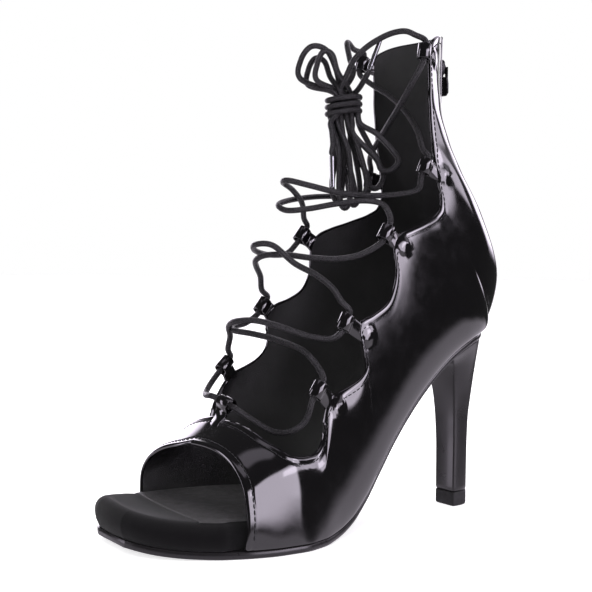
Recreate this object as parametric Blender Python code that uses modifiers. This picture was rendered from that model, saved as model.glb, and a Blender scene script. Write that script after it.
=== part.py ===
"""Left high-heeled, open-toe dance boot with ghillie lacing and a zip down the back.

Frame: +Z up, the toe points along -Y, +X is the outer (lateral) side of this left shoe.
All tables are in millimetres. Lateral numbers are positive distances toward +X and medial
numbers are positive distances toward -X.
"""

import bisect
import math
from collections import namedtuple

import bmesh
import bpy
from mathutils import Matrix, Vector

MM = 0.001
BOOT = "dance_boot"      # the collection of the boot's pieces
SHARP_ANGLE = 35.0       # degrees between two faces from which their edge stays sharp

# Driving dimensions, mm
GAP = 0.3                # clear distance between pieces that touch in the real shoe
FEATHER_GAP = 0.6        # clear height between the sole and the foot of the upper
SOLE_THICKNESS = 3.3     # measured straight up
PLATFORM_THICKNESS = 12.0  # padded footbed under the forefoot
MEDIAL_RAISE = 2.4       # how much higher the medial side of the padded footbed is
SHANK_THICKNESS = 2.6    # footbed over the shank and the seat
FOOTBED_BULGE = 1.2      # how far the padded footbed stands out past the sole at the toe
WALL = 1.8               # upper with its lining
TIP_HEIGHT = 7.5         # top lift of the heel
LACE_DIAMETER = 2.9
LOOP_BORE = 4.2
LOOP_OUTER = 6.6
LOOP_LENGTH = 7.6
TAB_OVERLAP = 2.0        # how far a tab goes on past its anchor
TAB_THICKNESS = 1.2      # tab that holds a lace loop to the upper
ZIP_WIDTH = 5.4
ZIP_THICKNESS = 1.7
ZIP_FOOT = 118.0         # height of the lower end of the zip
SLIDER_HEIGHT = 231.0
SLIDER_DEPTH = 1.8
SLIDER_HALF_WIDTH = 3.2
SLIDER_HALF_LENGTH = 4.4
SLIDER_CORNER = 1.0
BRIDGE_RADIUS = 2.3      # arch over the slider that the pull tab hangs from
BRIDGE_BORE = 1.15
BRIDGE_WIDTH = 1.5
BRIDGE_FOOT = 3.2        # half length of the bridge where it meets the slider
HINGE_HEIGHT = 1.35      # middle of the bridge's bore over the slider
PULL_LENGTH = 14.0
PULL_HALF_WIDTH = 2.3
PULL_WINDOW = 1.2        # half width of the pull tab's window
PULL_BAR = 0.6           # half thickness of the tab and of the bar that turns in the bridge
PULL_WINDOW_END = 4.6
LACE_LEAD = 1.8          # straight lace past each end of a loop
HANK_THICKNESS = 11.0
SEAT_END = 13.5          # y of the back of the seat

# Outline of the sole seen from above: half widths each side of x = 0 at each y
PlanRow = namedtuple("PlanRow", "y lateral medial")
PLAN = [
    PlanRow(-194.0, 4.0, 22.0), PlanRow(-191.5, 10.0, 29.0), PlanRow(-188.0, 15.5, 32.6),
    PlanRow(-182.0, 21.5, 35.6), PlanRow(-172.0, 28.0, 38.0), PlanRow(-160.0, 34.2, 39.4),
    PlanRow(-148.0, 38.8, 39.0), PlanRow(-136.0, 41.2, 37.8), PlanRow(-124.0, 41.6, 34.6),
    PlanRow(-112.0, 38.6, 30.2), PlanRow(-98.0, 32.6, 25.6), PlanRow(-82.0, 27.2, 21.6),
    PlanRow(-66.0, 24.0, 19.4), PlanRow(-50.0, 21.6, 18.6), PlanRow(-34.0, 20.0, 18.6),
    PlanRow(-18.0, 19.0, 18.4), PlanRow(-8.0, 18.2, 17.9), PlanRow(0.0, 16.4, 16.4),
    PlanRow(6.0, 13.4, 13.4), PlanRow(10.0, 9.8, 9.8), PlanRow(12.4, 5.4, 5.4),
    PlanRow(SEAT_END, 0.0, 0.0),
]

# Underside of the sole along its length
BottomRow = namedtuple("BottomRow", "y z")
BOTTOM = [
    BottomRow(-194.0, 3.6), BottomRow(-185.0, 1.9), BottomRow(-172.0, 0.5),
    BottomRow(-160.0, 0.0), BottomRow(-112.0, 0.0), BottomRow(-101.0, 1.2),
    BottomRow(-90.0, 5.2), BottomRow(-80.0, 13.5), BottomRow(-70.0, 26.0),
    BottomRow(-60.0, 39.0), BottomRow(-50.0, 50.5), BottomRow(-40.0, 60.8),
    BottomRow(-30.0, 69.8), BottomRow(-20.0, 77.4), BottomRow(-10.0, 83.2),
    BottomRow(0.0, 87.4), BottomRow(SEAT_END, 91.0),
]

# Sections of the upper. Each lies in a plane through the low point (low_y, low_z) and the
# high point (high_y, high_z); low_z None puts the low point on the sole. lateral and
# medial are the greatest half widths, widest is the part of the way up at which they
# fall, shift moves the ridge sideways, and square and back are 2 where the part above and
# below the widest place is round, more where it is boxy and less where it is pointed.
Section = namedtuple("Section", "low_y low_z high_y high_z lateral medial widest shift square back")
SECTIONS = [
    Section(-188.0, None, -192.0, 24.0, 25.0, 30.0, 0.50, -7.0, 2.3, 2.2),
    Section(-172.0, None, -170.0, 37.0, 33.0, 36.0, 0.50, -6.0, 2.3, 2.2),
    Section(-152.0, None, -147.0, 51.0, 40.5, 39.5, 0.45, -5.0, 2.3, 2.2),
    Section(-130.0, None, -129.0, 68.0, 42.0, 39.0, 0.45, -4.0, 2.7, 2.2),
    Section(-110.0, None, -116.0, 88.0, 38.5, 37.0, 0.48, -3.0, 3.2, 2.2),
    Section(-90.0, None, -105.0, 110.0, 34.0, 35.0, 0.48, -2.0, 3.2, 2.2),
    Section(-72.0, None, -95.0, 130.0, 31.5, 32.5, 0.48, -1.0, 3.2, 2.2),
    Section(-52.0, None, -85.0, 150.0, 30.0, 30.5, 0.48, 0.0, 3.0, 2.2),
    Section(-30.0, None, -74.0, 166.0, 29.5, 29.5, 0.48, 0.0, 2.8, 2.2),
    Section(-8.0, None, -65.0, 178.0, 28.5, 28.5, 0.48, 0.0, 2.6, 2.2),
    Section(5.0, None, -62.0, 186.0, 27.5, 27.5, 0.48, 0.0, 2.5, 2.2),
    Section(SEAT_END, None, -62.0, 192.0, 27.2, 26.5, 0.48, 0.0, 2.4, 2.2),
    Section(22.0, 116.0, -63.0, 201.0, 26.7, 26.0, 0.48, 0.0, 2.3, 2.2),
    Section(15.0, 138.0, -64.0, 208.0, 25.6, 25.0, 0.48, 0.0, 2.3, 2.1),
    Section(3.0, 159.0, -66.0, 215.0, 24.0, 24.0, 0.48, 0.0, 2.3, 1.9),
    Section(-7.4, 179.0, -67.0, 221.0, 23.0, 23.0, 0.48, 0.0, 2.3, 1.7),
    Section(-14.0, 201.0, -68.0, 228.0, 22.5, 22.5, 0.48, 0.0, 2.3, 1.5),
    Section(-15.4, 222.0, -68.0, 236.0, 22.5, 22.5, 0.48, 0.0, 2.3, 1.4),
    Section(-14.8, 247.0, -68.0, 247.0, 22.5, 22.5, 0.48, 0.0, 2.3, 1.4),
]
HEEL_CORNER = 11.0       # place in SECTIONS of the back end of the feather line

# Edges of the upper in side view. throat_y and throat_z run from the middle of the vamp,
# round the scallops and up to the back of the collar. edge_y and edge_z are the point of
# the other edge that faces it: the peep toe first, then the feather line, where edge_z
# is None.
EdgeRow = namedtuple("EdgeRow", "throat_y throat_z edge_y edge_z")
LATERAL_EDGE = [
    EdgeRow(-141.0, 56.1, -156.7, 45.0), EdgeRow(-139.0, 51.0, -154.8, 42.8),
    EdgeRow(-132.5, 44.7, -154.0, 37.5), EdgeRow(-127.0, 42.3, -153.2, 28.0),
    EdgeRow(-121.0, 41.6, -152.4, 14.0), EdgeRow(-114.8, 42.6, -152.0, None),
    EdgeRow(-110.8, 45.6, -143.0, None), EdgeRow(-108.2, 51.0, -134.0, None),
    EdgeRow(-107.6, 57.0, -126.0, None), EdgeRow(-106.0, 62.8, -118.5, None),
    EdgeRow(-103.2, 66.8, -112.0, None), EdgeRow(-98.5, 68.8, -105.5, None),
    EdgeRow(-92.0, 71.5, -99.0, None), EdgeRow(-86.0, 75.2, -92.5, None),
    EdgeRow(-82.6, 80.5, -86.0, None), EdgeRow(-83.6, 88.0, -79.5, None),
    EdgeRow(-87.0, 95.0, -73.0, None), EdgeRow(-86.0, 100.8, -67.0, None),
    EdgeRow(-79.5, 103.6, -60.5, None), EdgeRow(-70.5, 109.2, -53.0, None),
    EdgeRow(-66.2, 118.0, -46.0, None), EdgeRow(-65.0, 127.0, -39.5, None),
    EdgeRow(-66.0, 134.0, -33.5, None), EdgeRow(-64.2, 139.5, -28.0, None),
    EdgeRow(-60.5, 142.8, -23.0, None), EdgeRow(-54.5, 145.2, -18.0, None),
    EdgeRow(-47.0, 148.1, -13.0, None), EdgeRow(-39.8, 151.6, -8.0, None),
    EdgeRow(-35.2, 156.0, -3.5, None), EdgeRow(-34.6, 162.5, 0.5, None),
    EdgeRow(-36.6, 171.5, 4.0, None), EdgeRow(-38.6, 184.0, 7.0, None),
    EdgeRow(-39.0, 199.0, 9.5, None), EdgeRow(-39.0, 214.0, 11.2, None),
    EdgeRow(-39.0, 227.0, 12.4, None), EdgeRow(-38.8, 235.2, 13.0, None),
    EdgeRow(-35.5, 239.5, 13.3, None), EdgeRow(-26.0, 243.6, 13.42, None),
    EdgeRow(-14.8, 246.9, SEAT_END, None),
]
MEDIAL_EDGE = [
    EdgeRow(-141.0, 56.1, -156.7, 45.0), EdgeRow(-143.0, 50.5, -159.5, 42.8),
    EdgeRow(-143.0, 44.8, -162.3, 38.0), EdgeRow(-140.0, 41.2, -164.3, 30.0),
    EdgeRow(-136.0, 40.2, -165.7, 17.0), EdgeRow(-131.5, 41.6, -166.0, None),
    EdgeRow(-128.5, 45.6, -157.0, None), EdgeRow(-126.8, 51.0, -147.5, None),
    EdgeRow(-126.2, 57.0, -138.0, None), EdgeRow(-125.2, 63.0, -129.0, None),
    EdgeRow(-122.8, 68.8, -121.0, None), EdgeRow(-117.5, 72.6, -113.5, None),
    EdgeRow(-110.5, 75.4, -106.0, None), EdgeRow(-103.5, 78.9, -98.0, None),
    EdgeRow(-98.6, 84.2, -90.0, None), EdgeRow(-97.4, 91.0, -82.0, None),
    EdgeRow(-99.4, 97.6, -74.5, None), EdgeRow(-99.4, 103.6, -68.0, None),
    EdgeRow(-95.0, 107.0, -61.5, None), EdgeRow(-87.0, 109.8, -54.5, None),
    EdgeRow(-79.6, 114.6, -47.5, None), EdgeRow(-75.8, 123.0, -41.0, None),
    EdgeRow(-76.0, 131.5, -34.5, None), EdgeRow(-76.2, 138.2, -28.5, None),
    EdgeRow(-72.0, 143.0, -23.0, None), EdgeRow(-63.5, 146.6, -18.0, None),
    EdgeRow(-52.0, 150.2, -13.0, None), EdgeRow(-41.5, 153.8, -8.0, None),
    EdgeRow(-34.2, 158.4, -3.5, None), EdgeRow(-31.6, 165.2, 0.5, None),
    EdgeRow(-33.4, 176.0, 4.0, None), EdgeRow(-36.4, 190.0, 7.0, None),
    EdgeRow(-38.6, 204.0, 9.5, None), EdgeRow(-39.6, 217.0, 11.2, None),
    EdgeRow(-40.0, 228.0, 12.4, None), EdgeRow(-39.8, 235.2, 13.0, None),
    EdgeRow(-36.0, 239.5, 13.3, None), EdgeRow(-26.0, 243.6, 13.42, None),
    EdgeRow(-14.8, 246.9, SEAT_END, None),
]
COLUMNS_PER_EDGE_ROW = 2
ROWS_OF_UPPER = 8

# Heel block, flat-fronted and round-backed, from the top lift up. level is the height
# over the middle of the heel; follow is 0 where a section is level and 1 where it has the
# slope of the seat above it.
HeelRow = namedtuple("HeelRow", "level front back half_width follow")
HEEL = [
    HeelRow(TIP_HEIGHT + GAP, -6.0, 7.6, 7.1, 0.0), HeelRow(30.0, -6.0, 7.7, 7.3, 0.0),
    HeelRow(46.0, -6.5, 8.2, 7.8, 0.0), HeelRow(58.0, -7.4, 9.9, 8.6, 0.0),
    HeelRow(67.5, -8.8, 11.4, 9.8, 0.1), HeelRow(76.0, -10.8, 12.7, 11.6, 0.35),
    HeelRow(81.0, -13.2, 13.2, 13.8, 0.7), HeelRow(84.6, -15.6, 13.2, 16.0, 0.9),
    HeelRow(None, -18.0, 13.2, 17.6, 1.0),
]

# Lace loops: x, y, z is the middle of the tube that the lace runs through, run is the
# way that the lace takes through it, upward, and anchor_y, anchor_z is where its tab is
# fixed on the outside of the upper, in side view. lift is how far off the skin it is.
# The vamp loop's tab is on the ridge of the vamp, at VAMP_ANCHOR_X.
Loop = namedtuple("Loop", "name side x y z run anchor_y anchor_z lift")
LOOPS = [
    Loop("vamp", 1, -4.0, -138.6, 61.6, (1.0, 0.3, -0.15), -146.5, 52.0, 1.8),
    Loop("lateral_1", 1, 33.5, -113.2, 70.0, (-0.05, 0.2, 1.0), -99.5, 61.0, 3.3),
    Loop("lateral_2", 1, 30.2, -95.9, 100.0, (-0.05, 0.1, 1.0), -83.0, 93.5, 2.6),
    Loop("lateral_3", 1, 27.2, -70.2, 141.8, (-0.05, 0.5, 1.0), -59.0, 135.0, 1.3),
    Loop("lateral_4", 1, 23.9, -43.4, 175.6, (-0.05, 0.0, 1.0), -31.0, 171.0, 1.8),
    Loop("lateral_5", 1, 23.6, -44.4, 231.6, (0.0, -0.1, 1.0), -33.0, 229.5, 2.7),
    Loop("medial_1", -1, -32.0, -123.4, 76.8, (0.05, 0.5, 1.0), -115.5, 65.5, 1.7),
    Loop("medial_2", -1, -31.4, -102.0, 105.8, (0.05, 0.3, 1.0), -91.5, 97.0, 2.4),
    Loop("medial_3", -1, -27.6, -80.8, 142.1, (0.05, 0.3, 1.0), -70.5, 134.5, 0.9),
    Loop("medial_4", -1, -24.6, -39.4, 172.4, (0.05, 0.0, 1.0), -27.0, 171.0, 1.9),
    Loop("medial_5", -1, -23.6, -46.4, 232.8, (0.0, -0.1, 1.0), -34.0, 229.5, 2.7),
]

VAMP_ANCHOR_X = -5.0
VAMP_NORMAL = Vector((0.0, -0.75, 0.66))

# Free stretches of the lace between the loops, from the vamp loop up each way. Each
# stretch runs from the loop named first to the loop named last.
Stretch = namedtuple("Stretch", "start points end")
LATERAL_START = [
    Stretch("vamp", [(10.0, -132.2, 54.6), (18.0, -126.6, 50.2), (25.5, -122.0, 51.0),
                     (30.0, -117.2, 56.0)], "lateral_1"),
    Stretch("lateral_1", [(28.8, -110.4, 80.4), (22.0, -112.4, 86.2), (12.0, -114.4, 89.2),
                          (0.0, -116.8, 91.5), (-11.0, -121.0, 93.2), (-19.5, -125.6, 94.4),
                          (-25.8, -121.5, 96.0), (-29.6, -113.0, 97.2)], "medial_2"),
    Stretch("medial_2", [(-29.6, -103.6, 114.0), (-25.8, -106.8, 120.6), (-20.6, -112.6, 125.6),
                         (-15.0, -116.2, 128.6), (-8.0, -115.0, 130.8), (0.0, -108.6, 131.0),
                         (9.0, -99.6, 129.6), (17.0, -90.6, 129.2), (23.4, -82.0, 131.4)],
            "lateral_3"),
    Stretch("lateral_3", [(25.6, -66.9, 151.4), (21.6, -68.4, 156.2), (15.0, -75.0, 157.6),
                          (6.0, -84.6, 156.0), (-3.0, -93.6, 153.8), (-11.4, -101.0, 153.0),
                          (-18.4, -101.4, 156.0), (-22.6, -92.0, 159.0), (-24.4, -76.0, 161.6),
                          (-24.6, -58.0, 163.0), (-23.8, -46.6, 164.6)], "medial_4"),
    Stretch("medial_4", [(-19.6, -43.4, 183.6), (-11.0, -44.6, 191.6), (0.0, -46.4, 199.6),
                         (10.0, -47.4, 208.0), (18.0, -47.2, 216.6)], "lateral_5"),
]
MEDIAL_START = [
    Stretch("vamp", [(-14.0, -142.0, 64.6), (-22.0, -140.6, 64.2), (-29.0, -134.6, 66.0)],
            "medial_1"),
    Stretch("medial_1", [(-30.4, -122.4, 84.6), (-26.4, -123.6, 91.2), (-20.4, -128.0, 96.4),
                         (-12.0, -129.0, 99.2), (-2.0, -124.0, 99.8), (9.0, -116.6, 97.0),
                         (18.6, -109.0, 93.4), (26.0, -101.6, 92.2)], "lateral_2"),
    Stretch("lateral_2", [(27.4, -96.0, 109.4), (23.0, -98.0, 115.6), (15.6, -102.2, 121.6),
                          (6.0, -108.0, 127.0), (-3.0, -114.4, 135.4), (-11.0, -119.2, 135.8),
                          (-18.6, -114.6, 133.2), (-24.4, -103.0, 131.4), (-27.4, -90.6, 132.2)],
            "medial_3"),
    Stretch("medial_3", [(-26.2, -80.6, 150.6), (-22.6, -84.4, 158.0), (-17.6, -93.4, 163.6),
                         (-12.0, -103.0, 166.6), (-5.6, -103.8, 167.0), (1.0, -96.0, 164.6),
                         (7.6, -83.0, 161.4), (14.0, -69.0, 160.4), (19.4, -56.4, 161.4),
                         (22.8, -46.6, 164.2)], "lateral_4"),
    Stretch("lateral_4", [(21.4, -42.6, 184.4), (15.0, -41.4, 195.0), (4.0, -40.4, 206.0),
                          (-8.0, -40.4, 214.8), (-18.6, -43.2, 221.6)], "medial_5"),
]

# The two ends of the lace come out of the top loops, go down to the knot and are wound
# into a hank there. Directions of the hank: across, out toward the front, and up.
KNOT = Vector((-9.8, -68.4, 207.0))
ACROSS = Vector((0.66, 0.75, 0.0)).normalized()
OUTWARD = Vector((0.75, -0.66, 0.0)).normalized()
KNOT_HALF = Vector((10.5, 6.6, 6.4))
KNOT_TILT = 12.0         # degrees
LATERAL_END = [
    (22.0, -48.8, 239.4), (18.6, -52.4, 241.4), (13.0, -56.0, 241.0), (7.0, -60.0, 238.4),
    (1.6, -64.0, 234.4), (-3.4, -67.2, 228.8), (-6.0, -69.4, 222.0), (-6.2, -69.6, 215.6),
]
MEDIAL_END = [
    (-23.0, -52.0, 239.6), (-20.6, -57.6, 242.0), (-16.8, -61.4, 239.6), (-13.6, -62.0, 232.0),
    (-11.4, -61.8, 223.0), (-10.4, -62.6, 215.4),
]
# Outlines of the two halves of the hank, across and up from the middle of the knot
HANK_TOP = [
    (-11.0, 5.0), (-18.6, 7.0), (-22.0, 12.0), (-22.2, 18.6), (-19.8, 27.0), (-14.4, 31.0),
    (-7.0, 29.4), (-2.8, 22.0), (-2.4, 15.0), (-3.2, 9.6),
]
HANK_FOOT = [
    (-5.6, -9.6), (-5.4, -20.0), (-5.4, -34.0), (-3.4, -44.0), (2.6, -49.6), (9.0, -48.0),
    (15.0, -42.0), (22.0, -38.6), (26.4, -31.0), (24.0, -20.0), (16.0, -12.4), (6.4, -8.8),
]
# Hard ends of the lace: middle across, up and outward from the knot, and lean in degrees
Aglet = namedtuple("Aglet", "name across up outward lean")
AGLETS = [Aglet("aglet_1", 15.6, 24.5, 4.0, 20.0), Aglet("aglet_2", -4.6, -34.0, 8.2, -2.0)]
AGLET_LENGTH = 15.0
AGLET_DIAMETER = 2.4


def monotone(xs, ys):
    """Returns a smooth function through the knots that doesn't overshoot between them."""
    steps = [b - a for a, b in zip(xs, xs[1:])]
    slopes = [(b - a) / h for a, b, h in zip(ys, ys[1:], steps)]
    tangents = [slopes[0]]
    for i in range(1, len(xs) - 1):
        if slopes[i - 1] * slopes[i] <= 0:
            tangents.append(0.0)
            continue
        before, after = 2 * steps[i] + steps[i - 1], steps[i] + 2 * steps[i - 1]
        tangents.append((before + after) / (before / slopes[i - 1] + after / slopes[i]))
    tangents.append(slopes[-1])

    def value(x):
        x = min(max(x, xs[0]), xs[-1])
        i = 0
        while i < len(xs) - 2 and x > xs[i + 1]:
            i += 1
        h = steps[i]
        t = (x - xs[i]) / h
        return (
            (1 + 2 * t) * (1 - t) ** 2 * ys[i] + t * (1 - t) ** 2 * h * tangents[i]
            + t * t * (3 - 2 * t) * ys[i + 1] + t * t * (t - 1) * h * tangents[i + 1]
        )

    return value


PLAN_LATERAL = monotone([r.y for r in PLAN], [r.lateral for r in PLAN])
PLAN_MEDIAL = monotone([r.y for r in PLAN], [r.medial for r in PLAN])
UNDERSIDE = monotone([r.y for r in BOTTOM], [r.z for r in BOTTOM])


def plan(y, side):
    """Half width of the sole at y; side is +1 for lateral and -1 for medial."""
    return PLAN_LATERAL(y) if side > 0 else PLAN_MEDIAL(y)


def sole_top(y):
    return UNDERSIDE(y) + SOLE_THICKNESS


def section_curves():
    rows = [
        row if row.low_z is not None else row._replace(low_z=sole_top(row.low_y) + FEATHER_GAP)
        for row in SECTIONS
    ]
    places = [float(i) for i in range(len(rows))]
    return [monotone(places, [row[k] for row in rows]) for k in range(len(Section._fields))]


CURVES = section_curves()


def section_at(s):
    row = Section(*[curve(s) for curve in CURVES])
    if s < HEEL_CORNER:
        row = row._replace(low_z=sole_top(row.low_y) + FEATHER_GAP)
    return row


def rise(v, widest):
    """Part of the way from the low to the high point at v, the place along the girth."""
    if v <= 0.5:
        return widest * (1 - math.cos(math.pi * v))
    return widest + (1 - widest) * math.sin(math.pi * (v - 0.5))


def girth(a, widest):
    """The inverse of rise."""
    if a <= widest:
        return math.acos(max(-1.0, 1 - a / widest)) / math.pi
    return 0.5 + math.asin(min(1.0, (a - widest) / (1 - widest))) / math.pi


def skin(s, v, side):
    """Point of the outer face of the upper: s along the shoe, v up the girth."""
    row = section_at(s)
    a = rise(v, row.widest)
    greatest = row.lateral if side > 0 else row.medial
    foot = min(0.99 * plan(row.low_y, side), greatest) if s < HEEL_CORNER else 0.0
    if a <= row.widest:
        part = 1 - a / row.widest
        x = foot + (greatest - foot) * max(0.0, 1 - part ** row.back) ** (1 / row.back)
    else:
        part = min(1.0, (a - row.widest) / (1 - row.widest))
        x = greatest * max(0.0, 1 - part ** row.square) ** (1 / row.square)
    return Vector((
        side * x + row.shift * a,
        row.low_y + (row.high_y - row.low_y) * a,
        row.low_z + (row.high_z - row.low_z) * a,
    ))


def place_of(y, z):
    """(s, v) of the point of the skin that is at (y, z) in side view."""
    def miss(s):
        row = section_at(s)
        return ((row.high_y - row.low_y) * (z - row.low_z)
                - (row.high_z - row.low_z) * (y - row.low_y))

    last, found = len(SECTIONS) - 1, None
    samples = 10 * last
    for k in range(samples):
        low, high = k * last / samples, (k + 1) * last / samples
        at_low = miss(low)
        if at_low * miss(high) > 0:
            continue
        for _ in range(30):
            middle = (low + high) / 2
            if at_low * miss(middle) <= 0:
                high = middle
            else:
                low = middle
        row = section_at(low)
        reach_y, reach_z = row.high_y - row.low_y, row.high_z - row.low_z
        a = ((y - row.low_y) * reach_y + (z - row.low_z) * reach_z) / (reach_y ** 2 + reach_z ** 2)
        if -0.03 <= a <= 1.03 and (found is None or abs(a - 0.5) < abs(found[1] - 0.5)):
            found = (low, min(1.0, max(0.0, a)))
    s, a = found
    return s, girth(a, section_at(s).widest)


def feather_place(y):
    """(s, v) of the feather line at y."""
    low, high = 0.0, HEEL_CORNER
    for _ in range(40):
        middle = (low + high) / 2
        if section_at(middle).low_y < y:
            low = middle
        else:
            high = middle
    return low, 0.0


def smooth_through(knots, per_interval):
    """Points of a Catmull-Rom curve through the knots."""
    points = []
    for i in range(len(knots) - 1):
        a = knots[max(i - 1, 0)]
        b, c = knots[i], knots[i + 1]
        d = knots[min(i + 2, len(knots) - 1)]
        for k in range(per_interval):
            t = k / per_interval
            points.append(tuple(
                0.5 * (2 * q + (r - p) * t + (2 * p - 5 * q + 4 * r - e) * t * t
                       + (3 * q - p - 3 * r + e) * t ** 3)
                for p, q, r, e in zip(a, b, c, d)
            ))
    return points + [tuple(knots[-1])]


def edge_places(table):
    """The throat edge and the edge that faces it, as two lists of (s, v)."""
    throat = [place_of(row.throat_y, row.throat_z) for row in table]
    outer = [
        feather_place(row.edge_y) if row.edge_z is None else place_of(row.edge_y, row.edge_z)
        for row in table
    ]
    throat[0], outer[0] = (throat[0][0], 1.0), (outer[0][0], 1.0)
    last = float(len(SECTIONS) - 1)
    throat[-1], outer[-1] = (last, 0.0), (HEEL_CORNER, 0.0)
    return throat, outer


def upper_columns(side, table):
    """Columns of skin points from the outer edge to the throat, toe first."""
    throat, outer = edge_places(table)
    columns = []
    for inner_end, outer_end in zip(
        smooth_through(throat, COLUMNS_PER_EDGE_ROW), smooth_through(outer, COLUMNS_PER_EDGE_ROW)
    ):
        column = []
        for k in range(ROWS_OF_UPPER + 1):
            u = k / ROWS_OF_UPPER
            s = outer_end[0] + (inner_end[0] - outer_end[0]) * u
            v = outer_end[1] + (inner_end[1] - outer_end[1]) * u
            column.append(skin(s, min(1.0, max(0.0, v)), side))
        columns.append(column)
    return columns


def material(name, colour, roughness, metallic=0.0, coat=0.0):
    made = bpy.data.materials.new(name)
    made.use_nodes = True
    shader = made.node_tree.nodes["Principled BSDF"]
    shader.inputs["Base Color"].default_value = (*colour, 1.0)
    shader.inputs["Roughness"].default_value = roughness
    shader.inputs["Metallic"].default_value = metallic
    shader.inputs["Coat Weight"].default_value = coat
    made.diffuse_color = (*colour, 1.0)
    return made


def add_object(name, data):
    """Adds one object to the boot's collection."""
    obj = bpy.data.objects.new(name, data)
    if BOOT not in bpy.data.collections:
        bpy.context.scene.collection.children.link(bpy.data.collections.new(BOOT))
    bpy.data.collections[BOOT].objects.link(obj)
    return obj


def shade_round(mesh):
    """Shades a mesh smooth, but for its sharp edges."""
    mesh.polygons.foreach_set("use_smooth", [True] * len(mesh.polygons))
    mesh.set_sharp_from_angle(angle=math.radians(SHARP_ANGLE))


def add_mesh(name, points, faces, finish):
    """Adds one object; points are in millimetres."""
    mesh = bpy.data.meshes.new(name)
    mesh.from_pydata([Vector(p) * MM for p in points], [], [tuple(f) for f in faces])
    mesh.update()
    shade_round(mesh)
    mesh.materials.append(finish)
    return add_object(name, mesh)


def ring_loft(name, rings, finish):
    """Closed solid through rings of equal length, capped by a fan at each end."""
    count = len(rings[0])
    points = [p for ring in rings for p in ring]
    faces = []
    for r in range(len(rings) - 1):
        for k in range(count):
            n = (k + 1) % count
            faces.append((r * count + k, r * count + n, (r + 1) * count + n, (r + 1) * count + k))
    for r, turn in ((0, -1), (len(rings) - 1, 1)):
        middle = Vector((0, 0, 0))
        for p in rings[r]:
            middle += Vector(p)
        points.append(middle / count)
        for k in range(count):
            ends = (r * count + k, r * count + (k + 1) % count)
            faces.append((*(ends if turn > 0 else ends[::-1]), len(points) - 1))
    if volume_of(points, faces) < 0:
        faces = [face[::-1] for face in faces]
    return add_mesh(name, points, faces, finish)


def volume_of(points, faces):
    total = 0.0
    for face in faces:
        first = Vector(points[face[0]])
        for a, b in zip(face[1:-1], face[2:]):
            total += first.dot(Vector(points[a]).cross(Vector(points[b]))) / 6
    return total


def build_upper(finish):
    """The upper: one hollow wall, open at the collar, throat, toe and underneath."""
    lateral = upper_columns(1, LATERAL_EDGE)
    medial = upper_columns(-1, MEDIAL_EDGE)
    # One loop of columns: lateral from toe to back seam, then medial from back to toe.
    columns = lateral + medial[-2:0:-1]
    rows, count = ROWS_OF_UPPER + 1, len(columns)
    points = [point for column in columns for point in column]
    faces = []
    for c in range(count):
        n = (c + 1) % count
        for r in range(rows - 1):
            faces.append((n * rows + r, n * rows + r + 1, c * rows + r + 1, c * rows + r))
    upper = add_mesh("upper", points, faces, finish)
    wall = upper.modifiers.new("Wall", "SOLIDIFY")
    wall.thickness = WALL * MM
    wall.offset = -1.0
    return upper


def stations(first, last, count):
    """Values from first to last, closer together near both ends."""
    return [first + (last - first) * (1 - math.cos(math.pi * k / count)) / 2 for k in range(count + 1)]


SOLE_STATIONS = stations(-193.6, SEAT_END - 0.4, 46)


def build_outsole(finish):
    """The outsole, from the toe to the back of the seat, with a square edge."""
    rings = []
    for y in SOLE_STATIONS:
        lateral, medial = plan(y, 1), plan(y, -1)
        low, high = UNDERSIDE(y), sole_top(y)
        rings.append([
            (-medial + 0.6, y, low), (0.0, y, low), (lateral - 0.6, y, low),
            (lateral, y, low + 0.6), (lateral, y, high),
            (0.0, y, high), (-medial, y, high), (-medial, y, low + 0.6),
        ])
    return ring_loft("outsole", rings, finish)


def footbed_inset(y, side):
    """How far the side of the footbed stands in from the edge of the sole."""
    start = -156.0 if side > 0 else -170.0
    inside = WALL + GAP + 0.9
    t = min(1.0, max(0.0, (y - (start - 5.0)) / 4.0))
    return (inside + FOOTBED_BULGE) * t * t * (3 - 2 * t) - FOOTBED_BULGE


def footbed_thickness(y):
    t = min(1.0, max(0.0, (y + 116.0) / 46.0))
    t = t * t * (3 - 2 * t)
    nose = min(1.0, max(0.0, (y + 194.5) / 5.0))
    return (PLATFORM_THICKNESS * (1 - t) + SHANK_THICKNESS * t) * (0.62 + 0.38 * math.sqrt(nose))


def build_insole(finish):
    """The footbed: padded under the forefoot, thin over the shank and seat."""
    rings = []
    for y in [y for y in SOLE_STATIONS if y < SEAT_END - 3.6]:
        low = sole_top(y) + GAP
        level = footbed_thickness(y)
        lift = MEDIAL_RAISE * (level - SHANK_THICKNESS) / (PLATFORM_THICKNESS - SHANK_THICKNESS)
        ring = []
        for side, thick in ((1, level), (-1, level + max(0.0, lift))):
            width = max(plan(y, side) - footbed_inset(y, side), 1.2)
            corner = min(4.2, 0.42 * thick)
            edge = [
                (width - 1.2, low), (width, low + 0.28 * thick),
                (width, low + thick - corner), (width - 0.35 * corner, low + thick - 0.35 * corner),
                (width - corner, low + thick),
            ]
            if side < 0:
                edge = edge[::-1]
            ring += [(side * x, y, z) for x, z in edge]
            if side > 0:
                ring.append((0.0, y, low + level + lift / 3 - 0.12 * min(thick, 6.0)))
        ring.append((0.0, y, low))
        rings.append(ring)
    return ring_loft("insole", rings, finish)


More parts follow.
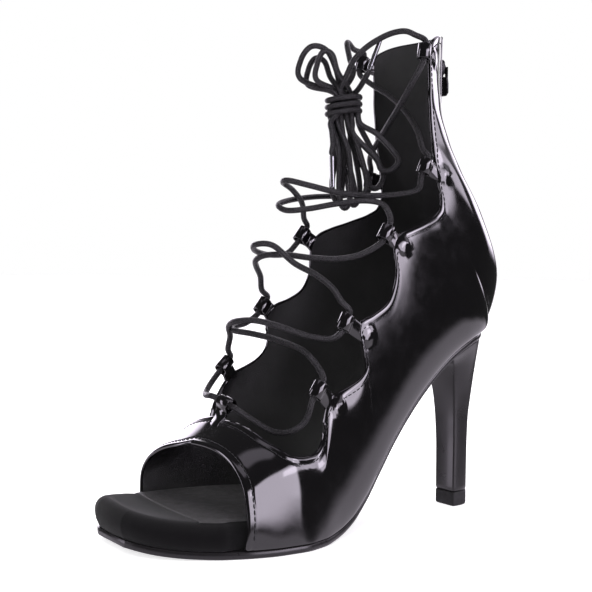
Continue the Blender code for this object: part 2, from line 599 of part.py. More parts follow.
def heel_ring(row, level=None):
    """A flat-fronted, round-backed ring; points run from the front right round the back."""
    points = []
    corner = 1.2
    outline = [(-row.half_width + corner, row.front), (row.half_width - corner, row.front)]
    steps = 14
    for k in range(steps + 1):
        angle = math.pi * k / steps
        c, s = math.cos(angle), math.sin(angle)
        x = row.half_width * math.copysign(abs(c) ** 0.88, c)
        y = row.front + corner + (row.back - row.front - corner) * s ** 0.92
        outline.append((x, y))
    middle = UNDERSIDE(0.0) - GAP
    if level is None:
        level = middle if row.level is None else row.level
    for x, y in outline:
        points.append((x, y, level + row.follow * (UNDERSIDE(y) - GAP - middle)))
    return points


def build_heel(finish):
    return ring_loft("heel", [heel_ring(row) for row in HEEL], finish)


def build_heel_tip(finish):
    foot = HEEL[0]
    slim = foot._replace(half_width=foot.half_width - 0.5, front=foot.front + 0.5, back=foot.back - 0.5)
    rings = [heel_ring(slim, 0.0), heel_ring(foot, 0.7), heel_ring(foot, TIP_HEIGHT)]
    return ring_loft("heel_tip", rings, finish)


def to_mesh_object(obj):
    """Turns a curve object, or one with modifiers, into a plain mesh object of its name."""
    name = obj.name
    graph = bpy.context.evaluated_depsgraph_get()
    mesh = bpy.data.meshes.new_from_object(obj.evaluated_get(graph))
    work = bmesh.new()
    work.from_mesh(mesh)
    bmesh.ops.remove_doubles(work, verts=work.verts, dist=1e-6)
    bmesh.ops.recalc_face_normals(work, faces=work.faces)
    work.to_mesh(mesh)
    work.free()
    made = add_object(name + "_mesh", mesh)
    made.matrix_world = obj.matrix_world
    bpy.data.objects.remove(obj, do_unlink=True)
    made.name = name
    return made


def tube(name, points, diameter, finish, resolution=2):
    """A round cord or bar along the points."""
    curve = bpy.data.curves.new(name, "CURVE")
    curve.dimensions = "3D"
    curve.bevel_depth = diameter / 2 * MM
    curve.bevel_resolution = resolution
    curve.use_fill_caps = True
    spline = curve.splines.new("POLY")
    spline.points.add(len(points) - 1)
    for place, point in zip(spline.points, points):
        place.co = (*(Vector(point) * MM), 1.0)
    curve.materials.append(finish)
    return add_object(name, curve)


def plate(name, outlines, thickness, frame, finish, rounding=0.0):
    """A flat shape: closed outlines in the frame's local XY, with the later ones as holes."""
    curve = bpy.data.curves.new(name, "CURVE")
    curve.dimensions = "2D"
    curve.fill_mode = "BOTH"
    curve.extrude = (thickness / 2 - rounding) * MM
    curve.bevel_depth = rounding * MM
    curve.bevel_resolution = 1
    for outline in outlines:
        spline = curve.splines.new("POLY")
        spline.points.add(len(outline) - 1)
        spline.use_cyclic_u = True
        for place, (x, y) in zip(spline.points, outline):
            place.co = (x * MM, y * MM, 0.0, 1.0)
    curve.materials.append(finish)
    obj = add_object(name, curve)
    obj.matrix_world = frame
    return obj


def frame_from(origin, along_x, along_z):
    """A frame at origin (mm) with local X along along_x and local Z near along_z."""
    x = Vector(along_x).normalized()
    z = Vector(along_z)
    z = (z - x * z.dot(x)).normalized()
    y = z.cross(x)
    frame = Matrix((x, y, z)).transposed().to_4x4()
    frame.translation = Vector(origin) * MM
    return frame


def circle(radius, count, start=0.0, end=2 * math.pi, whole=True):
    """Points of a circle, or of an arc with both of its ends."""
    steps = count if whole else count - 1
    return [
        (radius * math.cos(start + (end - start) * k / steps),
         radius * math.sin(start + (end - start) * k / steps))
        for k in range(count)
    ]


def skin_frame(y, z, side):
    """The point of the skin at (y, z) in side view and the outward normal there."""
    s, v = place_of(y, z)
    step = 0.02
    point = skin(s, v, side)
    along = skin(s + step, v, side) - skin(s - step, v, side)
    up = skin(s, min(1.0, v + step), side) - skin(s, v - step, side)
    normal = along.cross(up).normalized()
    if normal.x * side < 0:
        normal = -normal
    return point, normal


def loop_frames():
    """For each loop: the middle of its tube, the way through it, and its tab's direction."""
    frames = {}
    for loop in LOOPS:
        middle = Vector((loop.x, loop.y, loop.z))
        if loop.name == "vamp":
            anchor = Vector((VAMP_ANCHOR_X, loop.anchor_y, loop.anchor_z)) + VAMP_NORMAL * loop.lift
        else:
            point, normal = skin_frame(loop.anchor_y, loop.anchor_z, loop.side)
            anchor = point + normal * (loop.lift + TAB_THICKNESS / 2)
        toward = anchor - middle
        reach = toward.length
        toward = toward.normalized()
        run = Vector(loop.run)
        run = (run - toward * run.dot(toward)).normalized()
        frames[loop.name] = (middle, run, toward, reach)
    return frames


LOOP_FRAMES = loop_frames()
FINE = 12                # steps between the knots of a route


def build_loop(loop, finish):
    """A glossy tube for the lace with a flat tab that is fixed to the upper."""
    middle, run, toward, reach = LOOP_FRAMES[loop.name]
    half_angle = math.asin(TAB_THICKNESS / LOOP_OUTER)
    outline = circle(LOOP_OUTER / 2, 15, half_angle, 2 * math.pi - half_angle, whole=False)
    end = reach + TAB_OVERLAP
    outline += [(end, -TAB_THICKNESS / 2), (end, TAB_THICKNESS / 2)]
    bore = circle(LOOP_BORE / 2, 12)
    frame = frame_from(middle, toward, run)
    return plate("loop_" + loop.name, [outline, bore], LOOP_LENGTH, frame, finish)


def lace_route(stretches):
    """The lace from the vamp loop up through the stretches, as points along a smooth curve."""
    lead = LOOP_LENGTH / 2 + LACE_LEAD
    knots, leads = [], []
    for stretch in stretches:
        middle, run, _, _ = LOOP_FRAMES[stretch.start]
        way = -run if stretch.start == "vamp" and stretches is MEDIAL_START else run
        if not knots:
            knots.append(middle)
        leads.append(len(knots))
        knots.append(middle + way * lead)
        knots += [Vector(p) for p in stretch.points]
        middle, run, _, _ = LOOP_FRAMES[stretch.end]
        leads.append(len(knots))
        knots += [middle - run * lead, middle]
    knots.append(middle + run * lead)
    fine = smooth_through([tuple(p) for p in knots], FINE)
    points = [knots[0]]
    for leave, arrive in zip(leads[::2], leads[1::2]):
        points += evenly([Vector(p) for p in fine[leave * FINE:arrive * FINE + 1]])
    return points + [knots[-1]]


def evenly(fine):
    """Points about three diameters apart along a fine row of points, with both ends."""
    lengths = [0.0]
    for p, q in zip(fine, fine[1:]):
        lengths.append(lengths[-1] + (q - p).length)
    count = max(2, round(lengths[-1] / (3.0 * LACE_DIAMETER)))
    points = []
    for k in range(count + 1):
        reach = lengths[-1] * k / count
        i = min(max(bisect.bisect_right(lengths, reach) - 1, 0), len(fine) - 2)
        part = (reach - lengths[i]) / (lengths[i + 1] - lengths[i])
        points.append(fine[i].lerp(fine[i + 1], part))
    return points


def build_lace(finish):
    """The lace's crossings in one tube, and its two ends down to the knot."""
    lateral, medial = lace_route(LATERAL_START), lace_route(MEDIAL_START)
    tube("lace_crossings", lateral[::-1] + medial[1:], LACE_DIAMETER, finish)
    for name, route, end in (
        ("lace_end_lateral", lateral, LATERAL_END), ("lace_end_medial", medial, MEDIAL_END)
    ):
        way = (route[-1] - route[-2]).normalized()
        knots = [route[-1] + way * 0.8, route[-1] + way * 3.0] + [Vector(p) for p in end]
        fine = smooth_through([tuple(p) for p in knots], FINE)
        tube(name, [knots[0]] + evenly([Vector(p) for p in fine[FINE:]]), LACE_DIAMETER, finish)


def hank_place(across, up, outward):
    return KNOT + ACROSS * across + OUTWARD * outward + Vector((0, 0, up))


def build_hank(finish, hard_finish):
    """The knot, the bunches of loops above and below it, and the two hard lace ends."""
    frame = frame_from(KNOT, ACROSS, OUTWARD)
    for name, outline in (("lace_hank_top", HANK_TOP), ("lace_hank_foot", HANK_FOOT)):
        smooth = smooth_through(outline + outline[:1], 2)[:-1]
        plate(name, [smooth], HANK_THICKNESS, frame, finish, rounding=2.0)
    ball = bmesh.new()
    bmesh.ops.create_uvsphere(ball, u_segments=20, v_segments=10, radius=1.0)
    mesh = bpy.data.meshes.new("lace_knot")
    ball.to_mesh(mesh)
    ball.free()
    shade_round(mesh)
    mesh.materials.append(finish)
    knot = add_object("lace_knot", mesh)
    knot.matrix_world = (
        frame @ Matrix.Rotation(math.radians(KNOT_TILT), 4, "Z")
        @ Matrix.Diagonal((KNOT_HALF.x * MM, KNOT_HALF.z * MM, KNOT_HALF.y * MM, 1.0))
    )
    for aglet in AGLETS:
        lean = math.radians(aglet.lean)
        way = (ACROSS * math.sin(lean) + Vector((0, 0, math.cos(lean)))) * (AGLET_LENGTH / 2)
        middle = hank_place(aglet.across, aglet.up, aglet.outward)
        tube(aglet.name, [middle - way, middle, middle + way], AGLET_DIAMETER, hard_finish, 3)


def seam_points():
    """Points up the back seam of the upper, from the seat to the collar."""
    last = len(SECTIONS) - 1
    count = ROWS_OF_UPPER
    return [skin(HEEL_CORNER + (last - HEEL_CORNER) * k / count, 0.0, 1) for k in range(count + 1)]


def seam_frame(z):
    """The point of the back seam at height z, and the outward direction there."""
    points = seam_points()
    for low, high in zip(points, points[1:]):
        if z <= high.z:
            break
    along = (high - low).normalized()
    return low + (high - low) * ((z - low.z) / (high.z - low.z)), Vector((0, along.z, -along.y))


def build_zip(tape_finish, metal_finish):
    """The zip chain down the back seam, its slider and its hanging pull tab."""
    heights = [point.z for point in seam_points()]
    heights = [z for z in heights[:-1] if z > ZIP_FOOT] + [heights[-1] - 2.0]
    half, side = ZIP_WIDTH / 2, Vector((1, 0, 0))
    rings = []
    for z in [ZIP_FOOT] + heights:
        base, out = seam_frame(z)
        above = seam_frame(z + 0.01)[1]
        out = (out + above) / (1 + out.dot(above))
        near, far = base + out * GAP, base + out * (GAP + ZIP_THICKNESS)
        rings.append([near - side * half, near + side * half, far + side * (half - 0.7),
                      far - side * (half - 0.7)])
    ring_loft("zip_chain", rings, tape_finish)

    base, out = seam_frame(SLIDER_HEIGHT)
    face = 2 * GAP + ZIP_THICKNESS + SLIDER_DEPTH
    frame = frame_from(base + out * (face - SLIDER_DEPTH / 2), (1, 0, 0), out)
    width, length = SLIDER_HALF_WIDTH, SLIDER_HALF_LENGTH
    corner = [(width, length - SLIDER_CORNER), (width - SLIDER_CORNER, length)]
    rounded = corner + [(-x, y) for x, y in corner[::-1]]
    rounded += [(-x, -y) for x, y in rounded]
    body = to_mesh_object(plate("zip_slider", [rounded], SLIDER_DEPTH, frame, metal_finish))
    hinge = base + out * (face + HINGE_HEIGHT)
    arch_frame = frame_from(hinge, out, (1, 0, 0))
    sunk = -(HINGE_HEIGHT + SLIDER_DEPTH / 4)
    arch = circle(BRIDGE_RADIUS, 9, -math.pi / 2, math.pi / 2, whole=False)
    arch = [(sunk, -BRIDGE_FOOT)] + arch + [(sunk, BRIDGE_FOOT)]
    bore = circle(BRIDGE_BORE, 12)
    bridge = to_mesh_object(plate("bridge", [arch, bore], BRIDGE_WIDTH, arch_frame, metal_finish))
    union = body.modifiers.new("Bridge", "BOOLEAN")
    union.operation = "UNION"
    union.solver = "EXACT"
    union.object = bridge
    body = to_mesh_object(body)
    bpy.data.objects.remove(bridge, do_unlink=True)

    waist, foot, end = PULL_HALF_WIDTH, PULL_HALF_WIDTH + 0.5, -PULL_LENGTH
    edge = [(waist, PULL_BAR), (waist, -5.0), (foot, -8.0), (foot, end + 1.2), (waist - 0.7, end)]
    outer = edge + [(-x, y) for x, y in edge[::-1]]
    window = [(-PULL_WINDOW, -PULL_BAR), (PULL_WINDOW, -PULL_BAR),
              (PULL_WINDOW, -PULL_WINDOW_END), (-PULL_WINDOW, -PULL_WINDOW_END)]
    # The tab's frame has +Y up and +Z backward, with its origin on the hinge.
    pull_frame = frame_from(hinge, (-1, 0, 0), (0, 1, 0))
    plate("zip_pull", [outer, window], 2 * PULL_BAR, pull_frame, metal_finish)


def main():
    for obj in list(bpy.data.objects):
        bpy.data.objects.remove(obj, do_unlink=True)
    patent = material("black patent leather", (0.012, 0.012, 0.014), 0.12, coat=1.0)
    suede = material("black suede", (0.012, 0.012, 0.012), 0.9)
    rubber = material("black rubber", (0.015, 0.015, 0.015), 0.55)
    satin = material("black satin heel cover", (0.014, 0.013, 0.014), 0.32)
    build_upper(patent)
    build_outsole(rubber)
    build_insole(suede)
    build_heel(satin)
    build_heel_tip(rubber)
    cord = material("black waxed cord", (0.013, 0.013, 0.013), 0.5)
    clear = material("clear plastic", (0.55, 0.55, 0.58), 0.15)
    tape = material("black zip tape", (0.012, 0.012, 0.012), 0.7)
    metal = material("black metal", (0.05, 0.05, 0.055), 0.25, metallic=1.0)
    for loop in LOOPS:
        build_loop(loop, patent)
    build_lace(cord)
    build_hank(cord, clear)
    build_zip(tape, metal)


main()
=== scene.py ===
"""Looks of a left high-heeled, open-toe dance boot with looped lacing and a back zip.

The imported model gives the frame: +Z up, the toe points along -Y and +X is the outer
(lateral) side. Sizes are in millimetres unless a name or a docstring says metres.
"""

import bisect
import logging
import math
from collections.abc import Callable, Sequence
from dataclasses import dataclass, field
from enum import Enum

import bmesh
import bpy
from mathutils import Matrix, Vector


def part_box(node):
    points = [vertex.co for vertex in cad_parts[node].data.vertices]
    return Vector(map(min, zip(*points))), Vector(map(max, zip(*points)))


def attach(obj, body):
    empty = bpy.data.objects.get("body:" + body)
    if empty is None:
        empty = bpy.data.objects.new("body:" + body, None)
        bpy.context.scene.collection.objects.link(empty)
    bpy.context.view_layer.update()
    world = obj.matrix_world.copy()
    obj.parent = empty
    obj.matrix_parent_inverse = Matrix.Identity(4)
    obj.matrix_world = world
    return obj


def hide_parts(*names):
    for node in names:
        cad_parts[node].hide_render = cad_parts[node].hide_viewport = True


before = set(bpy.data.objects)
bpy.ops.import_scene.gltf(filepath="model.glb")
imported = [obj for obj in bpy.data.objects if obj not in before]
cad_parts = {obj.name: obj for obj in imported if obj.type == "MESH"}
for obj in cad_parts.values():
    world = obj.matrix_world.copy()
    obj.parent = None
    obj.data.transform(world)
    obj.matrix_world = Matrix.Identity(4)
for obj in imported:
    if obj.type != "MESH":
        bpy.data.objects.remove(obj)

logging.basicConfig(level=logging.INFO, format="%(levelname)s %(message)s")
log = logging.getLogger("dance_boot")

MM = 0.001
GAP = 0.3
WALL = 1.8
LACE_DIAMETER = 2.9
SOLE_THICKNESS = 3.3
PLATFORM_THICKNESS = 12.0
SHANK_THICKNESS = 2.6
MEDIAL_RAISE = 2.4
SEAT_END = 13.5
HEEL_CORNER = 11.0
TIP_HEIGHT = 7.5


class Side(Enum):
    """The two sides of the boot, with the sign of X on each."""

    LATERAL = 1
    MEDIAL = -1


class Body(Enum):
    """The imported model's rigid bodies."""

    BOOT = "boot"
    PULL_TAB = "pull_tab"


class Slot(Enum):
    """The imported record's material slots."""

    UPPER = "upper"
    LOOPS = "loops"
    FOOTBED = "footbed"
    SOLE = "sole"
    HEEL = "heel"
    HEEL_TIP = "heel_tip"
    LACE = "lace"
    AGLET = "aglet"
    ZIP = "zip"
    ZIP_METAL = "zip_metal"


# --------------------------------------------------------------------------- shape maths


def monotone(xs: Sequence[float], ys: Sequence[float]) -> Callable[[float], float]:
    """Make a smooth function through knots that doesn't overshoot between them.

    Args:
        xs: Places of the knots, rising.
        ys: Values at the knots.

    Returns:
        A function of one number.
    """
    steps = [b - a for a, b in zip(xs, xs[1:])]
    slopes = [(b - a) / h for a, b, h in zip(ys, ys[1:], steps)]
    tangents = [slopes[0]]
    for i in range(1, len(xs) - 1):
        if slopes[i - 1] * slopes[i] <= 0:
            tangents.append(0.0)
            continue
        before, after = 2 * steps[i] + steps[i - 1], steps[i] + 2 * steps[i - 1]
        tangents.append((before + after) / (before / slopes[i - 1] + after / slopes[i]))
    tangents.append(slopes[-1])

    def value(x: float) -> float:
        """Return the function's value at x."""
        x = min(max(x, xs[0]), xs[-1])
        i = min(max(bisect.bisect_right(xs, x) - 1, 0), len(xs) - 2)
        h = steps[i]
        t = (x - xs[i]) / h
        return (
            (1 + 2 * t) * (1 - t) ** 2 * ys[i] + t * (1 - t) ** 2 * h * tangents[i]
            + t * t * (3 - 2 * t) * ys[i + 1] + t * t * (t - 1) * h * tangents[i + 1]
        )

    return value


def smooth_through(knots: Sequence[Sequence[float]], per_interval: int) -> list[tuple[float, ...]]:
    """Return points of a Catmull-Rom curve through the knots, which it passes in order."""
    points = []
    for i in range(len(knots) - 1):
        a = knots[max(i - 1, 0)]
        b, c = knots[i], knots[i + 1]
        d = knots[min(i + 2, len(knots) - 1)]
        for k in range(per_interval):
            t = k / per_interval
            points.append(tuple(
                0.5 * (2 * q + (r - p) * t + (2 * p - 5 * q + 4 * r - e) * t * t
                       + (3 * q - p - 3 * r + e) * t ** 3)
                for p, q, r, e in zip(a, b, c, d)
            ))
    return points + [tuple(knots[-1])]


def evenly(points: Sequence[Vector], step: float) -> list[Vector]:
    """Return points about a step apart along a row of points, with both of its ends."""
    lengths = [0.0]
    for p, q in zip(points, points[1:]):
        lengths.append(lengths[-1] + (q - p).length)
    count = max(2, round(lengths[-1] / step))
    made = []
    for k in range(count + 1):
        reach = lengths[-1] * k / count
        i = min(max(bisect.bisect_right(lengths, reach) - 1, 0), len(points) - 2)
        span = lengths[i + 1] - lengths[i]
        made.append(points[i].lerp(points[i + 1], (reach - lengths[i]) / span if span else 0.0))
    return made


def length_of(points: Sequence[Vector]) -> float:
    """Return the length of a row of points."""
    return sum((q - p).length for p, q in zip(points, points[1:]))


def smooth_step(t: float) -> float:
    """Return a soft step from 0 to 1 as t goes from 0 to 1."""
    t = min(1.0, max(0.0, t))
    return t * t * (3 - 2 * t)


# --------------------------------------------------------------------------- the last


@dataclass(frozen=True)
class PlanRow:
    """Half widths of the sole, each side of x = 0, at one place along the shoe."""

    y: float
    lateral: float
    medial: float


@dataclass(frozen=True)
class Section:
    """One section of the upper, in a plane from its low point to its high point."""

    low_y: float
    low_z: float | None
    high_y: float
    high_z: float
    lateral: float
    medial: float
    widest: float
    shift: float
    square: float
    back: float


@dataclass(frozen=True)
class EdgeRow:
    """A point of the throat edge in side view, and the point of the outer edge that faces it."""

    throat_y: float
    throat_z: float
    edge_y: float
    edge_z: float | None


PLAN = [
    PlanRow(-194.0, 4.0, 22.0), PlanRow(-191.5, 10.0, 29.0), PlanRow(-188.0, 15.5, 32.6),
    PlanRow(-182.0, 21.5, 35.6), PlanRow(-172.0, 28.0, 38.0), PlanRow(-160.0, 34.2, 39.4),
    PlanRow(-148.0, 38.8, 39.0), PlanRow(-136.0, 41.2, 37.8), PlanRow(-124.0, 41.6, 34.6),
    PlanRow(-112.0, 38.6, 30.2), PlanRow(-98.0, 32.6, 25.6), PlanRow(-82.0, 27.2, 21.6),
    PlanRow(-66.0, 24.0, 19.4), PlanRow(-50.0, 21.6, 18.6), PlanRow(-34.0, 20.0, 18.6),
    PlanRow(-18.0, 19.0, 18.4), PlanRow(-8.0, 18.2, 17.9), PlanRow(0.0, 16.4, 16.4),
    PlanRow(6.0, 13.4, 13.4), PlanRow(10.0, 9.8, 9.8), PlanRow(12.4, 5.4, 5.4),
    PlanRow(SEAT_END, 0.0, 0.0),
]
UNDERSIDE_KNOTS = [
    (-194.0, 3.6), (-185.0, 1.9), (-172.0, 0.5), (-160.0, 0.0), (-112.0, 0.0), (-101.0, 1.2),
    (-90.0, 5.2), (-80.0, 13.5), (-70.0, 26.0), (-60.0, 39.0), (-50.0, 50.5), (-40.0, 60.8),
    (-30.0, 69.8), (-20.0, 77.4), (-10.0, 83.2), (0.0, 87.4), (SEAT_END, 91.0),
]
SECTIONS = [
    Section(-188.0, None, -192.0, 24.0, 25.0, 30.0, 0.50, -7.0, 2.3, 2.2),
    Section(-172.0, None, -170.0, 37.0, 33.0, 36.0, 0.50, -6.0, 2.3, 2.2),
    Section(-152.0, None, -147.0, 51.0, 40.5, 39.5, 0.45, -5.0, 2.3, 2.2),
    Section(-130.0, None, -129.0, 68.0, 42.0, 39.0, 0.45, -4.0, 2.7, 2.2),
    Section(-110.0, None, -116.0, 88.0, 38.5, 37.0, 0.48, -3.0, 3.2, 2.2),
    Section(-90.0, None, -105.0, 110.0, 34.0, 35.0, 0.48, -2.0, 3.2, 2.2),
    Section(-72.0, None, -95.0, 130.0, 31.5, 32.5, 0.48, -1.0, 3.2, 2.2),
    Section(-52.0, None, -85.0, 150.0, 30.0, 30.5, 0.48, 0.0, 3.0, 2.2),
    Section(-30.0, None, -74.0, 166.0, 29.5, 29.5, 0.48, 0.0, 2.8, 2.2),
    Section(-8.0, None, -65.0, 178.0, 28.5, 28.5, 0.48, 0.0, 2.6, 2.2),
    Section(5.0, None, -62.0, 186.0, 27.5, 27.5, 0.48, 0.0, 2.5, 2.2),
    Section(SEAT_END, None, -62.0, 192.0, 27.2, 26.5, 0.48, 0.0, 2.4, 2.2),
    Section(22.0, 116.0, -63.0, 201.0, 26.7, 26.0, 0.48, 0.0, 2.3, 2.2),
    Section(15.0, 138.0, -64.0, 208.0, 25.6, 25.0, 0.48, 0.0, 2.3, 2.1),
    Section(3.0, 159.0, -66.0, 215.0, 24.0, 24.0, 0.48, 0.0, 2.3, 1.9),
    Section(-7.4, 179.0, -67.0, 221.0, 23.0, 23.0, 0.48, 0.0, 2.3, 1.7),
    Section(-14.0, 201.0, -68.0, 228.0, 22.5, 22.5, 0.48, 0.0, 2.3, 1.5),
    Section(-15.4, 222.0, -68.0, 236.0, 22.5, 22.5, 0.48, 0.0, 2.3, 1.4),
    Section(-14.8, 247.0, -68.0, 247.0, 22.5, 22.5, 0.48, 0.0, 2.3, 1.4),
]
LATERAL_EDGE = [
    EdgeRow(-141.0, 56.1, -156.7, 45.0), EdgeRow(-139.0, 51.0, -154.8, 42.8),
    EdgeRow(-132.5, 44.7, -154.0, 37.5), EdgeRow(-127.0, 42.3, -153.2, 28.0),
    EdgeRow(-121.0, 41.6, -152.4, 14.0), EdgeRow(-114.8, 42.6, -152.0, None),
    EdgeRow(-110.8, 45.6, -143.0, None), EdgeRow(-108.2, 51.0, -134.0, None),
    EdgeRow(-107.6, 57.0, -126.0, None), EdgeRow(-106.0, 62.8, -118.5, None),
    EdgeRow(-103.2, 66.8, -112.0, None), EdgeRow(-98.5, 68.8, -105.5, None),
    EdgeRow(-92.0, 71.5, -99.0, None), EdgeRow(-86.0, 75.2, -92.5, None),
    EdgeRow(-82.6, 80.5, -86.0, None), EdgeRow(-83.6, 88.0, -79.5, None),
    EdgeRow(-87.0, 95.0, -73.0, None), EdgeRow(-86.0, 100.8, -67.0, None),
    EdgeRow(-79.5, 103.6, -60.5, None), EdgeRow(-70.5, 109.2, -53.0, None),
    EdgeRow(-66.2, 118.0, -46.0, None), EdgeRow(-65.0, 127.0, -39.5, None),
    EdgeRow(-66.0, 134.0, -33.5, None), EdgeRow(-64.2, 139.5, -28.0, None),
    EdgeRow(-60.5, 142.8, -23.0, None), EdgeRow(-54.5, 145.2, -18.0, None),
    EdgeRow(-47.0, 148.1, -13.0, None), EdgeRow(-39.8, 151.6, -8.0, None),
    EdgeRow(-35.2, 156.0, -3.5, None), EdgeRow(-34.6, 162.5, 0.5, None),
    EdgeRow(-36.6, 171.5, 4.0, None), EdgeRow(-38.6, 184.0, 7.0, None),
    EdgeRow(-39.0, 199.0, 9.5, None), EdgeRow(-39.0, 214.0, 11.2, None),
    EdgeRow(-39.0, 227.0, 12.4, None), EdgeRow(-38.8, 235.2, 13.0, None),
    EdgeRow(-35.5, 239.5, 13.3, None), EdgeRow(-26.0, 243.6, 13.42, None),
    EdgeRow(-14.8, 246.9, SEAT_END, None),
]
MEDIAL_EDGE = [
    EdgeRow(-141.0, 56.1, -156.7, 45.0), EdgeRow(-143.0, 50.5, -159.5, 42.8),
    EdgeRow(-143.0, 44.8, -162.3, 38.0), EdgeRow(-140.0, 41.2, -164.3, 30.0),
    EdgeRow(-136.0, 40.2, -165.7, 17.0), EdgeRow(-131.5, 41.6, -166.0, None),
    EdgeRow(-128.5, 45.6, -157.0, None), EdgeRow(-126.8, 51.0, -147.5, None),
    EdgeRow(-126.2, 57.0, -138.0, None), EdgeRow(-125.2, 63.0, -129.0, None),
    EdgeRow(-122.8, 68.8, -121.0, None), EdgeRow(-117.5, 72.6, -113.5, None),
    EdgeRow(-110.5, 75.4, -106.0, None), EdgeRow(-103.5, 78.9, -98.0, None),
    EdgeRow(-98.6, 84.2, -90.0, None), EdgeRow(-97.4, 91.0, -82.0, None),
    EdgeRow(-99.4, 97.6, -74.5, None), EdgeRow(-99.4, 103.6, -68.0, None),
    EdgeRow(-95.0, 107.0, -61.5, None), EdgeRow(-87.0, 109.8, -54.5, None),
    EdgeRow(-79.6, 114.6, -47.5, None), EdgeRow(-75.8, 123.0, -41.0, None),
    EdgeRow(-76.0, 131.5, -34.5, None), EdgeRow(-76.2, 138.2, -28.5, None),
    EdgeRow(-72.0, 143.0, -23.0, None), EdgeRow(-63.5, 146.6, -18.0, None),
    EdgeRow(-52.0, 150.2, -13.0, None), EdgeRow(-41.5, 153.8, -8.0, None),
    EdgeRow(-34.2, 158.4, -3.5, None), EdgeRow(-31.6, 165.2, 0.5, None),
    EdgeRow(-33.4, 176.0, 4.0, None), EdgeRow(-36.4, 190.0, 7.0, None),
    EdgeRow(-38.6, 204.0, 9.5, None), EdgeRow(-39.6, 217.0, 11.2, None),
    EdgeRow(-40.0, 228.0, 12.4, None), EdgeRow(-39.8, 235.2, 13.0, None),
    EdgeRow(-36.0, 239.5, 13.3, None), EdgeRow(-26.0, 243.6, 13.42, None),
    EdgeRow(-14.8, 246.9, SEAT_END, None),
]


